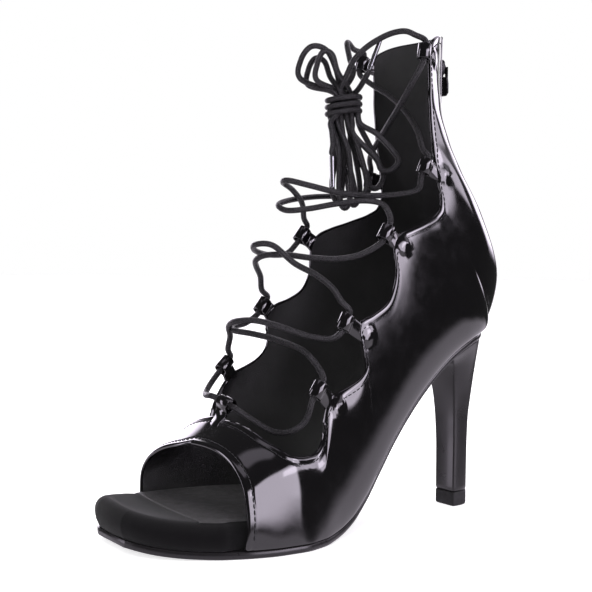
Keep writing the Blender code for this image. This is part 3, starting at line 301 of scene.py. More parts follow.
class BootForm:
    """The shape that the upper and the sole are made on, as functions of place."""

    def __init__(self) -> None:
        """Make the form's curves from the tables."""
        ys = [row.y for row in PLAN]
        self._lateral = monotone(ys, [row.lateral for row in PLAN])
        self._medial = monotone(ys, [row.medial for row in PLAN])
        self.underside = monotone(*zip(*UNDERSIDE_KNOTS))
        places = [float(i) for i in range(len(SECTIONS))]
        low_z = [
            self.sole_top(row.low_y) + GAP if row.low_z is None else row.low_z
            for row in SECTIONS
        ]
        names = ("low_y", "high_y", "high_z", "lateral", "medial", "widest", "shift", "square", "back")
        self._curves = {
            name: monotone(places, [getattr(row, name) for row in SECTIONS]) for name in names
        }
        self._curves["low_z"] = monotone(places, low_z)
        self.last_place = places[-1]

    def plan(self, y: float, side: Side) -> float:
        """Return the half width of the sole at y on one side."""
        return self._lateral(y) if side is Side.LATERAL else self._medial(y)

    def sole_top(self, y: float) -> float:
        """Return the height of the outsole's upper face at y."""
        return self.underside(y) + SOLE_THICKNESS

    def section_at(self, s: float) -> Section:
        """Return the section at place s, counted in rows of the table of sections."""
        values = {name: curve(s) for name, curve in self._curves.items()}
        if s < HEEL_CORNER:
            values["low_z"] = self.sole_top(values["low_y"]) + GAP
        return Section(**values)

    @staticmethod
    def _girth(a: float, widest: float) -> float:
        """Return the place up the girth that is at share a of the section's height."""
        if a <= widest:
            return math.acos(max(-1.0, 1 - a / widest)) / math.pi
        return 0.5 + math.asin(min(1.0, (a - widest) / (1 - widest))) / math.pi

    def skin(self, s: float, v: float, side: Side) -> Vector:
        """Return a point of the upper's outer face.

        Args:
            s: Place along the shoe, in rows of the table of sections.
            v: Place up the girth, 0 at the low point and 1 at the high point.
            side: Which side of the boot.

        Returns:
            The point, in millimetres.
        """
        row = self.section_at(s)
        if v <= 0.5:
            a = row.widest * (1 - math.cos(math.pi * v))
        else:
            a = row.widest + (1 - row.widest) * math.sin(math.pi * (v - 0.5))
        greatest = row.lateral if side is Side.LATERAL else row.medial
        foot = min(0.99 * self.plan(row.low_y, side), greatest) if s < HEEL_CORNER else 0.0
        if a <= row.widest:
            part = 1 - a / row.widest
            x = foot + (greatest - foot) * max(0.0, 1 - part ** row.back) ** (1 / row.back)
        else:
            part = min(1.0, (a - row.widest) / (1 - row.widest))
            x = greatest * max(0.0, 1 - part ** row.square) ** (1 / row.square)
        return Vector((
            side.value * x + row.shift * a,
            row.low_y + (row.high_y - row.low_y) * a,
            row.low_z + (row.high_z - row.low_z) * a,
        ))

    def place_of(self, y: float, z: float) -> tuple[float, float]:
        """Return (s, v) of the point of the skin that is at (y, z) in side view."""

        def miss(s: float) -> float:
            """Return how far section s's chord passes from the point."""
            row = self.section_at(s)
            return ((row.high_y - row.low_y) * (z - row.low_z)
                    - (row.high_z - row.low_z) * (y - row.low_y))

        found: tuple[float, float] | None = None
        samples = 10 * int(self.last_place)
        for k in range(samples):
            low, high = k * self.last_place / samples, (k + 1) * self.last_place / samples
            at_low = miss(low)
            if at_low * miss(high) > 0:
                continue
            for _ in range(30):
                middle = (low + high) / 2
                if at_low * miss(middle) <= 0:
                    high = middle
                else:
                    low = middle
            row = self.section_at(low)
            reach_y, reach_z = row.high_y - row.low_y, row.high_z - row.low_z
            a = ((y - row.low_y) * reach_y + (z - row.low_z) * reach_z)
            a /= reach_y ** 2 + reach_z ** 2
            if -0.03 <= a <= 1.03 and (found is None or abs(a - 0.5) < abs(found[1] - 0.5)):
                found = (low, min(1.0, max(0.0, a)))
        if found is None:
            raise ValueError(f"no place of the skin at y {y}, z {z}")
        return found[0], self._girth(found[1], self.section_at(found[0]).widest)

    def feather_place(self, y: float) -> tuple[float, float]:
        """Return (s, v) of the feather line, where the upper meets the sole, at y."""
        low, high = 0.0, HEEL_CORNER
        for _ in range(40):
            middle = (low + high) / 2
            if self.section_at(middle).low_y < y:
                low = middle
            else:
                high = middle
        return low, 0.0

    def normal(self, s: float, v: float, side: Side) -> Vector:
        """Return the outward normal of the skin at (s, v)."""
        ds, dv = 0.03, 0.01
        v = min(max(v, dv), 1 - dv)
        along = self.skin(min(s + ds, self.last_place), v, side) - self.skin(max(s - ds, 0.0), v, side)
        up = self.skin(s, v + dv, side) - self.skin(s, v - dv, side)
        normal = along.cross(up).normalized()
        return -normal if normal.x * side.value < 0 else normal


FORM = BootForm()
TURN_WIDTH = 18.0
TURN_DEPTH = 2.3
TURN_FROM, TURN_FULL = -152.0, -136.0
TURN_END, TURN_FADE = -84.0, 18.0


def throat_crossing(side: Side, start: tuple[float, float], end: tuple[float, float]
                    ) -> tuple[tuple[float, float], tuple[float, float]]:
    """Find where a straight line in side view goes over the throat's edge.

    Args:
        side: The side of the boot.
        start: (y, z) of a point in the opening.
        end: (y, z) of a point on the upper.

    Returns:
        (y, z) of the crossing, and the line's unit direction.
    """
    table = LATERAL_EDGE if side is Side.LATERAL else MEDIAL_EDGE
    edge = smooth_through([(row.throat_y, row.throat_z) for row in table], 6)
    way = (end[0] - start[0], end[1] - start[1])
    length = math.hypot(*way)
    best = 0.5
    for (ay, az), (by, bz) in zip(edge, edge[1:]):
        cross = way[0] * (bz - az) - way[1] * (by - ay)
        if abs(cross) < 1e-9:
            continue
        along = ((ay - start[0]) * (bz - az) - (az - start[1]) * (by - ay)) / cross
        part = ((ay - start[0]) * way[1] - (az - start[1]) * way[0]) / cross
        if 0 <= part <= 1 and 0 <= along <= 1:
            best = along
    crossing = (start[0] + way[0] * best, start[1] + way[1] * best)
    return crossing, (way[0] / length, way[1] / length)


def edge_turn(side: Side, y: float, reach: float) -> float:
    """Return how far the throat's lateral edge curls in, at a reach from the edge and a place y."""
    if side is Side.MEDIAL:
        return 0.0
    start = smooth_step((y - TURN_FROM) / (TURN_FULL - TURN_FROM))
    window = start * smooth_step((TURN_END - y) / TURN_FADE)
    return TURN_DEPTH * window * max(0.0, 1 - reach / TURN_WIDTH) ** 2


# --------------------------------------------------------------------------- loops and lace


@dataclass(frozen=True)
class LoopPlace:
    """Where one lace loop sits.

    Attributes:
        name: The loop's name.
        side: The side that it is fixed to.
        middle: The middle of its tube.
        run: The way that the lace takes through it, upward.
        anchor: (y, z) of the place on the upper that its tab goes to, in side view.
        lift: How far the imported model's tab stands off the skin.
    """

    name: str
    side: Side
    middle: tuple[float, float, float]
    run: tuple[float, float, float]
    anchor: tuple[float, float]
    lift: float


@dataclass(frozen=True)
class Stretch:
    """A free stretch of the lace from one loop to the next."""

    start: str
    points: tuple[tuple[float, float, float], ...]
    end: str


LOOP_LENGTH = 7.6
LOOP_OUTER = 6.6
LOOP_PLACES = [
    LoopPlace("vamp", Side.LATERAL, (-4.0, -138.6, 61.6), (1.0, 0.3, -0.15), (-146.5, 52.0), 1.8),
    LoopPlace("lateral_1", Side.LATERAL, (33.5, -113.2, 70.0), (-0.05, 0.2, 1.0), (-99.5, 61.0), 3.3),
    LoopPlace("lateral_2", Side.LATERAL, (30.2, -95.9, 100.0), (-0.05, 0.1, 1.0), (-83.0, 93.5), 2.6),
    LoopPlace("lateral_3", Side.LATERAL, (27.2, -70.2, 141.8), (-0.05, 0.5, 1.0), (-59.0, 135.0), 1.3),
    LoopPlace("lateral_4", Side.LATERAL, (23.9, -43.4, 175.6), (-0.05, 0.0, 1.0), (-31.0, 171.0), 1.8),
    LoopPlace("lateral_5", Side.LATERAL, (23.6, -44.4, 231.6), (0.0, -0.1, 1.0), (-33.0, 229.5), 2.7),
    LoopPlace("medial_1", Side.MEDIAL, (-32.0, -123.4, 76.8), (0.05, 0.5, 1.0), (-115.5, 65.5), 1.7),
    LoopPlace("medial_2", Side.MEDIAL, (-31.4, -102.0, 105.8), (0.05, 0.3, 1.0), (-91.5, 97.0), 2.4),
    LoopPlace("medial_3", Side.MEDIAL, (-27.6, -80.8, 142.1), (0.05, 0.3, 1.0), (-70.5, 134.5), 0.9),
    LoopPlace("medial_4", Side.MEDIAL, (-24.6, -39.4, 172.4), (0.05, 0.0, 1.0), (-27.0, 171.0), 1.9),
    LoopPlace("medial_5", Side.MEDIAL, (-23.6, -46.4, 232.8), (0.0, -0.1, 1.0), (-34.0, 229.5), 2.7),
]
LATERAL_START = [
    Stretch("vamp", ((10.0, -132.2, 54.6), (18.0, -126.6, 50.2), (25.5, -122.0, 51.0),
                     (30.0, -117.2, 56.0)), "lateral_1"),
    Stretch("lateral_1", ((28.8, -110.4, 80.4), (22.0, -112.4, 86.2), (12.0, -114.4, 89.2),
                          (0.0, -116.8, 91.5), (-11.0, -121.0, 93.2), (-19.5, -125.6, 94.4),
                          (-25.8, -121.5, 96.0), (-29.6, -113.0, 97.2)), "medial_2"),
    Stretch("medial_2", ((-29.6, -103.6, 114.0), (-25.8, -106.8, 120.6), (-20.6, -112.6, 125.6),
                         (-15.0, -116.2, 128.6), (-8.0, -115.0, 130.8), (0.0, -108.6, 131.0),
                         (9.0, -99.6, 129.6), (17.0, -90.6, 129.2), (23.4, -82.0, 131.4)),
            "lateral_3"),
    Stretch("lateral_3", ((25.6, -66.9, 151.4), (21.6, -68.4, 156.2), (15.0, -75.0, 157.6),
                          (6.0, -84.6, 156.0), (-3.0, -93.6, 153.8), (-11.4, -101.0, 153.0),
                          (-18.4, -101.4, 156.0), (-22.6, -92.0, 159.0), (-24.4, -76.0, 161.6),
                          (-24.6, -58.0, 163.0), (-23.8, -46.6, 164.6)), "medial_4"),
    Stretch("medial_4", ((-19.6, -43.4, 183.6), (-11.0, -44.6, 191.6), (0.0, -46.4, 199.6),
                         (10.0, -47.4, 208.0), (18.0, -47.2, 216.6)), "lateral_5"),
]
MEDIAL_START = [
    Stretch("vamp", ((-13.5, -141.6, 64.3), (-20.5, -140.2, 63.8), (-26.4, -136.8, 64.6),
                     (-29.6, -132.4, 68.2)),
            "medial_1"),
    Stretch("medial_1", ((-30.4, -122.4, 84.6), (-26.4, -123.6, 91.2), (-20.4, -128.0, 96.4),
                         (-12.0, -129.0, 99.2), (-2.0, -124.0, 99.8), (9.0, -116.6, 97.0),
                         (18.6, -109.0, 93.4), (26.0, -101.6, 92.2)), "lateral_2"),
    Stretch("lateral_2", ((27.4, -96.0, 109.4), (23.0, -98.0, 115.6), (15.6, -102.2, 121.6),
                          (6.0, -108.0, 127.0), (-3.0, -114.4, 135.4), (-11.0, -119.2, 135.8),
                          (-18.6, -114.6, 133.2), (-24.4, -103.0, 131.4), (-27.4, -90.6, 132.2)),
            "medial_3"),
    Stretch("medial_3", ((-26.2, -80.6, 150.6), (-22.6, -84.4, 158.0), (-17.6, -93.4, 163.6),
                         (-12.0, -103.0, 166.6), (-5.6, -103.8, 167.0), (1.0, -96.0, 164.6),
                         (7.6, -83.0, 161.4), (14.0, -69.0, 160.4), (19.4, -56.4, 161.4),
                         (22.8, -46.6, 164.2)), "lateral_4"),
    Stretch("lateral_4", ((21.4, -42.6, 184.4), (15.0, -41.4, 195.0), (4.0, -40.4, 206.0),
                          (-8.0, -40.4, 214.8), (-18.6, -43.2, 221.6)), "medial_5"),
]
LATERAL_END = [
    (22.0, -48.8, 239.4), (18.6, -52.4, 241.4), (13.0, -56.0, 241.0), (7.0, -60.0, 238.4),
    (1.6, -64.0, 234.4), (-3.4, -67.2, 228.8), (-6.0, -69.4, 222.0), (-6.2, -69.6, 215.6),
]
MEDIAL_END = [
    (-23.0, -52.0, 239.6), (-20.6, -57.6, 242.0), (-16.8, -61.4, 239.6), (-13.6, -62.0, 232.0),
    (-11.4, -61.8, 223.0), (-10.4, -62.6, 215.4),
]
KNOT = Vector((-9.8, -68.4, 207.0))
ACROSS = Vector((0.66, 0.75, 0.0)).normalized()
OUTWARD = Vector((0.75, -0.66, 0.0)).normalized()


# --------------------------------------------------------------------------- finishes


class NodeBench:
    """A small helper that adds and joins the nodes of one material."""

    def __init__(self, name: str) -> None:
        """Make a material with nodes."""
        self.material = bpy.data.materials.new(name)
        self.material.use_nodes = True
        self.tree = self.material.node_tree
        self.shader = self.tree.nodes["Principled BSDF"]

    def add(self, kind: str, **settings: object) -> bpy.types.Node:
        """Add a node, with its attributes set from settings."""
        node = self.tree.nodes.new(kind)
        for key, value in settings.items():
            setattr(node, key, value)
        return node

    def link(self, source: bpy.types.NodeSocket, target: bpy.types.NodeSocket) -> None:
        """Join two sockets."""
        self.tree.links.new(source, target)

    def math(self, operation: str, first: object, second: object = None) -> bpy.types.NodeSocket:
        """Add a Math node of sockets or numbers, and return its output."""
        node = self.add("ShaderNodeMath", operation=operation)
        for socket, value in zip(node.inputs, (first, second)):
            if isinstance(value, bpy.types.NodeSocket):
                self.link(value, socket)
            elif value is not None:
                socket.default_value = value
        return node.outputs[0]

    def noise(self, scale: float, detail: float = 3.0, roughness: float = 0.55,
              vector: bpy.types.NodeSocket | None = None) -> bpy.types.NodeSocket:
        """Add a noise texture in object space, and return its factor."""
        node = self.add("ShaderNodeTexNoise")
        node.inputs["Scale"].default_value = scale
        node.inputs["Detail"].default_value = detail
        node.inputs["Roughness"].default_value = roughness
        if vector is None:
            vector = self.add("ShaderNodeTexCoord").outputs["Object"]
        self.link(vector, node.inputs["Vector"])
        return node.outputs["Fac"]

    def spread(self, value: bpy.types.NodeSocket, low: float, high: float,
               from_low: float = 0.3, from_high: float = 0.7) -> bpy.types.NodeSocket:
        """Map a value onto a range, and return the result."""
        node = self.add("ShaderNodeMapRange")
        self.link(value, node.inputs["Value"])
        for key, number in (("From Min", from_low), ("From Max", from_high),
                            ("To Min", low), ("To Max", high)):
            node.inputs[key].default_value = number
        return node.outputs["Result"]

    def blend(self, factor: bpy.types.NodeSocket, dark: tuple[float, float, float],
              light: tuple[float, float, float]) -> None:
        """Colour the shader between two colours by a factor."""
        ramp = self.add("ShaderNodeValToRGB")
        ramp.color_ramp.elements[0].color = (*dark, 1.0)
        ramp.color_ramp.elements[1].color = (*light, 1.0)
        self.link(factor, ramp.inputs["Fac"])
        self.link(ramp.outputs["Color"], self.shader.inputs["Base Color"])

    def bump(self, height: bpy.types.NodeSocket, strength: float, distance: float,
             below: bpy.types.NodeSocket | None = None) -> bpy.types.NodeSocket:
        """Add a Bump node, join it to the shader, and return its normal."""
        node = self.add("ShaderNodeBump")
        node.inputs["Strength"].default_value = strength
        node.inputs["Distance"].default_value = distance
        self.link(height, node.inputs["Height"])
        if below is not None:
            self.link(below, node.inputs["Normal"])
        self.link(node.outputs["Normal"], self.shader.inputs["Normal"])
        return node.outputs["Normal"]

    def set(self, **values: object) -> None:
        """Set the shader's own sockets, with spaces in their names written as underscores."""
        for key, value in values.items():
            self.shader.inputs[key.replace("_", " ")].default_value = value


@dataclass(frozen=True)
class PatentFinish:
    """Black patent leather: a mirror coat over a dark base, with a faint ripple."""

    name: str = "black patent leather"
    colour: tuple[float, float, float] = (0.0045, 0.004, 0.0048)
    ripple: float = 0.05

    def build(self) -> bpy.types.Material:
        """Return the material."""
        bench = NodeBench(self.name)
        bench.set(Base_Color=(*self.colour, 1.0), Roughness=0.09, Coat_Weight=1.0,
                  Coat_Roughness=0.025, Coat_IOR=1.62, Specular_IOR_Level=0.55)
        waves = bench.noise(85.0, 2.0, 0.5)
        fine = bench.noise(900.0, 2.0, 0.5)
        first = bench.bump(waves, self.ripple, 0.0005)
        second = bench.bump(fine, 0.02, 0.0001, first)
        bench.link(second, bench.shader.inputs["Coat Normal"])
        smudge = bench.noise(140.0, 4.0, 0.6)
        bench.link(bench.spread(smudge, 0.07, 0.16), bench.shader.inputs["Roughness"])
        return bench.material


@dataclass(frozen=True)
class GrainFinish:
    """Black grained leather, as in the lining and the sock."""

    name: str = "black grained lining leather"
    dark: tuple[float, float, float] = (0.017, 0.017, 0.0175)
    light: tuple[float, float, float] = (0.040, 0.0392, 0.040)
    roughness: float = 0.4
    cell: float = 1500.0

    def build(self) -> bpy.types.Material:
        """Return the material."""
        bench = NodeBench(self.name)
        bench.set(Specular_IOR_Level=0.45)
        cells = bench.add("ShaderNodeTexVoronoi", feature="DISTANCE_TO_EDGE")
        cells.inputs["Scale"].default_value = self.cell
        bench.link(bench.add("ShaderNodeTexCoord").outputs["Object"], cells.inputs["Vector"])
        pebbles = bench.spread(cells.outputs["Distance"], 0.0, 1.0, 0.0, 0.28)
        wide = bench.noise(60.0, 4.0)
        first = bench.bump(pebbles, 0.35, 0.0003)
        bench.bump(wide, 0.25, 0.0012, first)
        bench.blend(wide, self.dark, self.light)
        bench.link(bench.spread(bench.noise(220.0), self.roughness - 0.1, self.roughness + 0.12),
                   bench.shader.inputs["Roughness"])
        return bench.material


@dataclass(frozen=True)
class SuedeFinish:
    """Matte black suede with a short nap."""

    name: str = "black suede"
    dark: tuple[float, float, float] = (0.0026, 0.0026, 0.0028)
    light: tuple[float, float, float] = (0.0075, 0.0073, 0.0078)

    def build(self) -> bpy.types.Material:
        """Return the material."""
        bench = NodeBench(self.name)
        bench.set(Roughness=0.96, Specular_IOR_Level=0.12, Sheen_Weight=0.12, Sheen_Roughness=0.5)
        nap = bench.noise(2600.0, 5.0, 0.7)
        patches = bench.noise(55.0, 5.0, 0.6)
        bench.blend(patches, self.dark, self.light)
        first = bench.bump(nap, 0.5, 0.0003)
        bench.bump(patches, 0.2, 0.0006, first)
        return bench.material


@dataclass(frozen=True)
class CordFinish:
    """Round waxed cord in a braided cover; U goes round the cord and V is its length in mm."""

    name: str = "black waxed cord"
    colour: tuple[float, float, float] = (0.008, 0.0077, 0.0083)
    strands: int = 8
    pitch: float = 9.0

    def build(self) -> bpy.types.Material:
        """Return the material."""
        bench = NodeBench(self.name)
        bench.set(Specular_IOR_Level=0.8)
        parts = bench.add("ShaderNodeSeparateXYZ")
        bench.link(bench.add("ShaderNodeTexCoord").outputs["UV"], parts.inputs["Vector"])
        turn = bench.math("MULTIPLY", parts.outputs["X"], 2 * math.pi * self.strands)
        along = bench.math("MULTIPLY", parts.outputs["Y"], 2 * math.pi * self.strands / self.pitch)
        one = bench.math("SINE", bench.math("ADD", turn, along))
        other = bench.math("SINE", bench.math("SUBTRACT", turn, along))
        braid = bench.math("MULTIPLY", one, other)
        fuzz = bench.noise(2200.0, 4.0, 0.7)
        first = bench.bump(bench.math("MULTIPLY", braid, 0.5), 0.75, 0.0004)
        bench.bump(fuzz, 0.35, 0.00025, first)
        # Painted shade: the cord is coloured darker in the braid's grooves and lighter on its crests,
        # following the same braid height as the bump.
        bench.blend(bench.spread(braid, 0.0, 1.0, -1.0, 1.0), self.colour,
                    tuple(2.6 * c for c in self.colour))
        bench.link(bench.spread(fuzz, 0.2, 0.4), bench.shader.inputs["Roughness"])
        return bench.material


@dataclass(frozen=True)
class TapeFinish:
    """Woven zip tape; U goes across it and V along it, both in mm."""

    name: str = "black zip tape"
    colour: tuple[float, float, float] = (0.008, 0.008, 0.009)

    def build(self) -> bpy.types.Material:
        """Return the material."""
        bench = NodeBench(self.name)
        bench.set(Specular_IOR_Level=0.3)
        parts = bench.add("ShaderNodeSeparateXYZ")
        bench.link(bench.add("ShaderNodeTexCoord").outputs["UV"], parts.inputs["Vector"])
        rib = bench.math("SINE", bench.math("MULTIPLY", parts.outputs["Y"], 2 * math.pi / 0.55))
        rows = bench.math("SINE", bench.math("MULTIPLY", parts.outputs["X"], 2 * math.pi / 0.5))
        bench.bump(bench.math("MULTIPLY", rib, rows), 0.6, 0.0002)
        bench.blend(bench.noise(400.0), self.colour, tuple(2 * c for c in self.colour))
        bench.link(bench.spread(bench.noise(900.0), 0.6, 0.8), bench.shader.inputs["Roughness"])
        return bench.material


@dataclass(frozen=True)
class SmoothFinish:
    """A moulded, polished or painted finish with faint marks."""

    name: str
    colour: tuple[float, float, float]
    roughness: float
    metallic: float = 0.0
    coat: float = 0.0
    marks: float = 300.0
    depth: float = 0.0003

    def build(self) -> bpy.types.Material:
        """Return the material."""
        bench = NodeBench(self.name)
        bench.set(Metallic=self.metallic, Coat_Weight=self.coat, Coat_Roughness=0.12)
        worn = bench.noise(self.marks, 5.0, 0.65)
        bench.blend(worn, tuple(0.85 * c for c in self.colour), tuple(1.15 * c for c in self.colour))
        bench.bump(worn, 0.15, self.depth)
        bench.link(bench.spread(worn, 0.85 * self.roughness, min(1.0, 1.2 * self.roughness)),
                   bench.shader.inputs["Roughness"])
        return bench.material


@dataclass
class Finishes:
    """Every finish of the boot, built once."""

    patent: bpy.types.Material = field(init=False)
    lining: bpy.types.Material = field(init=False)
    sock: bpy.types.Material = field(init=False)
    suede: bpy.types.Material = field(init=False)
    cord: bpy.types.Material = field(init=False)
    thread: bpy.types.Material = field(init=False)
    sole_edge: bpy.types.Material = field(init=False)
    heel: bpy.types.Material = field(init=False)
    rubber: bpy.types.Material = field(init=False)
    aglet: bpy.types.Material = field(init=False)
    tape: bpy.types.Material = field(init=False)
    coil: bpy.types.Material = field(init=False)
    metal: bpy.types.Material = field(init=False)

    def __post_init__(self) -> None:
        """Build each finish's material."""
        self.patent = PatentFinish().build()
        self.lining = GrainFinish().build()
        # Painted sheen: the sock is the lining's grained leather coloured lighter, standing in for the sheen
        # on its surface.
        self.sock = GrainFinish("black sock leather", dark=(0.030, 0.029, 0.030),
                                light=(0.065, 0.063, 0.065), roughness=0.42, cell=2200.0).build()
        self.suede = SuedeFinish().build()
        self.cord = CordFinish().build()
        self.thread = SmoothFinish("black thread", (0.02, 0.02, 0.021), 0.42).build()
        self.sole_edge = SmoothFinish("black burnished sole edge", (0.012, 0.011, 0.012), 0.3,
                                      coat=0.3).build()
        self.heel = SmoothFinish("black lacquered heel", (0.012, 0.011, 0.0115), 0.3,
                                 coat=0.35, marks=90.0).build()
        self.rubber = SmoothFinish("black top lift rubber", (0.012, 0.012, 0.012), 0.65).build()
        self.aglet = SmoothFinish("clear lace tip", (0.30, 0.30, 0.32), 0.16, metallic=0.85,
                                  coat=1.0).build()
        self.tape = TapeFinish().build()
        self.coil = SmoothFinish("black zip coil", (0.012, 0.012, 0.013), 0.3).build()
        self.metal = SmoothFinish("black painted metal", (0.02, 0.02, 0.022), 0.28,
                                  metallic=0.7).build()


# --------------------------------------------------------------------------- making meshes


class Maker:
    """Makes mesh pieces from points in millimetres and puts them on a body."""

    def __init__(self, body: Body = Body.BOOT) -> None:
        """Choose the body that the pieces ride on."""
        self.body = body

    def piece(self, name: str, points: Sequence[Vector], faces: Sequence[Sequence[int]],
              finish: bpy.types.Material, slot: Slot, replaces: Sequence[str] = (),
              uvs: Sequence[tuple[float, float]] | None = None,
              weld: bool = False) -> bpy.types.Object:
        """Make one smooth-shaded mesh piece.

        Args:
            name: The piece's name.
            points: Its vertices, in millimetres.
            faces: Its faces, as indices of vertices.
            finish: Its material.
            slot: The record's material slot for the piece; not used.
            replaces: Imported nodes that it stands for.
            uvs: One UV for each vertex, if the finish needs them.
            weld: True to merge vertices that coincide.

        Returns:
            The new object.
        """
        mesh = bpy.data.meshes.new(name)
        mesh.from_pydata([tuple(c * MM for c in p) for p in points], [], [tuple(f) for f in faces])
        if uvs is not None:
            layer = mesh.uv_layers.new(name="UVMap")
            for loop in mesh.loops:
                layer.data[loop.index].uv = uvs[loop.vertex_index]
        if weld:
            work = bmesh.new()
            work.from_mesh(mesh)
            bmesh.ops.remove_doubles(work, verts=work.verts, dist=1e-6)
            bmesh.ops.recalc_face_normals(work, faces=work.faces)
            work.to_mesh(mesh)
            work.free()
        mesh.polygons.foreach_set("use_smooth", [True] * len(mesh.polygons))
        mesh.update()
        mesh.materials.append(finish)
        obj = bpy.data.objects.new(name, mesh)
        bpy.context.scene.collection.objects.link(obj)
        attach(obj, self.body.value)
        if replaces:
            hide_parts(*replaces)
        log.info("%s: %d faces", name, len(mesh.polygons))
        return obj

    def tube(self, name: str, route: Sequence[Vector], radius: float, finish: bpy.types.Material,
             slot: Slot, sides: int = 12, replaces: Sequence[str] = (),
             taper: Callable[[float], float] | None = None) -> bpy.types.Object:
        """Sweep a round section along a route, with domed ends."""
        points, faces, uvs = self.sweep(route, radius, sides, taper)
        return self.piece(name, points, faces, finish, slot, replaces, uvs)

    @staticmethod
    def sweep(route: Sequence[Vector], radius: float, sides: int,
              taper: Callable[[float], float] | None = None
              ) -> tuple[list[Vector], list[tuple[int, ...]], list[tuple[float, float]]]:
        """Return the vertices, faces and UVs of a tube with domed ends along a route."""
        tangents = []
        for i in range(len(route)):
            tangents.append((route[min(i + 1, len(route) - 1)] - route[max(i - 1, 0)]).normalized())
        side = tangents[0].orthogonal().normalized()
        rings: list[tuple[Vector, Vector, Vector, float, float]] = []
        reach, total = 0.0, length_of(route)
        for i, (point, tangent) in enumerate(zip(route, tangents)):
            if i:
                reach += (point - route[i - 1]).length
                side = (side - tangent * side.dot(tangent)).normalized()
            size = radius * (taper(reach / total) if taper else 1.0)
            rings.append((point, side.copy(), tangent.cross(side), size, reach))
        for end, sign in ((0, -1), (-1, 1)):
            point, across, up, size, reach = rings[end]
            for part in (0.55, 0.9):
                cap = (point + tangents[end] * (sign * size * part), across, up,
                       size * math.sqrt(1 - part * part), reach)
                if end == 0:
                    rings.insert(0, cap)
                else:
                    rings.append(cap)
        points, faces, uvs = [], [], []
        for point, across, up, size, reach in rings:
            for k in range(sides + 1):
                angle = 2 * math.pi * k / sides
                points.append(point + (across * math.cos(angle) + up * math.sin(angle)) * size)
                uvs.append((k / sides, reach))
        row = sides + 1
        for r in range(len(rings) - 1):
            for k in range(sides):
                faces.append((r * row + k, r * row + k + 1, (r + 1) * row + k + 1, (r + 1) * row + k))
        faces.append(tuple(range(sides))[::-1])
        last = (len(rings) - 1) * row
        faces.append(tuple(last + k for k in range(sides)))
        return points, faces, uvs

    @staticmethod
    def grid(rows: Sequence[Sequence[Vector]], closed: bool = False,
             flip: bool = False) -> tuple[list[Vector], list[tuple[int, ...]]]:
        """Return the vertices and faces of a grid of rows of equal length."""
        count = len(rows[0])
        points = [point for row in rows for point in row]
        faces = []
        for r in range(len(rows) - 1):
            for k in range(count if closed else count - 1):
                n = (k + 1) % count
                face = (r * count + k, r * count + n, (r + 1) * count + n, (r + 1) * count + k)
                faces.append(face[::-1] if flip else face)
        return points, faces

    @staticmethod
    def merge(parts: Sequence[tuple[Sequence[Vector], Sequence[Sequence[int]]]]
              ) -> tuple[list[Vector], list[tuple[int, ...]]]:
        """Join several lots of vertices and faces into one."""
        points: list[Vector] = []
        faces: list[tuple[int, ...]] = []
        for some, polygons in parts:
            base = len(points)
            points += list(some)
            faces += [tuple(base + i for i in polygon) for polygon in polygons]
        return points, faces


# --------------------------------------------------------------------------- the upper


@dataclass
class Column:
    """One column of the upper's grid, from its outer edge to its throat edge.

    Attributes:
        side: The side of the boot that it is on.
        points: Points of the outer face.
        normals: Outward normals there.
        rimmed_foot: True where its outer end is the toe opening and not the feather line.
    """

    side: Side
    points: list[Vector]
    normals: list[Vector]
    rimmed_foot: bool


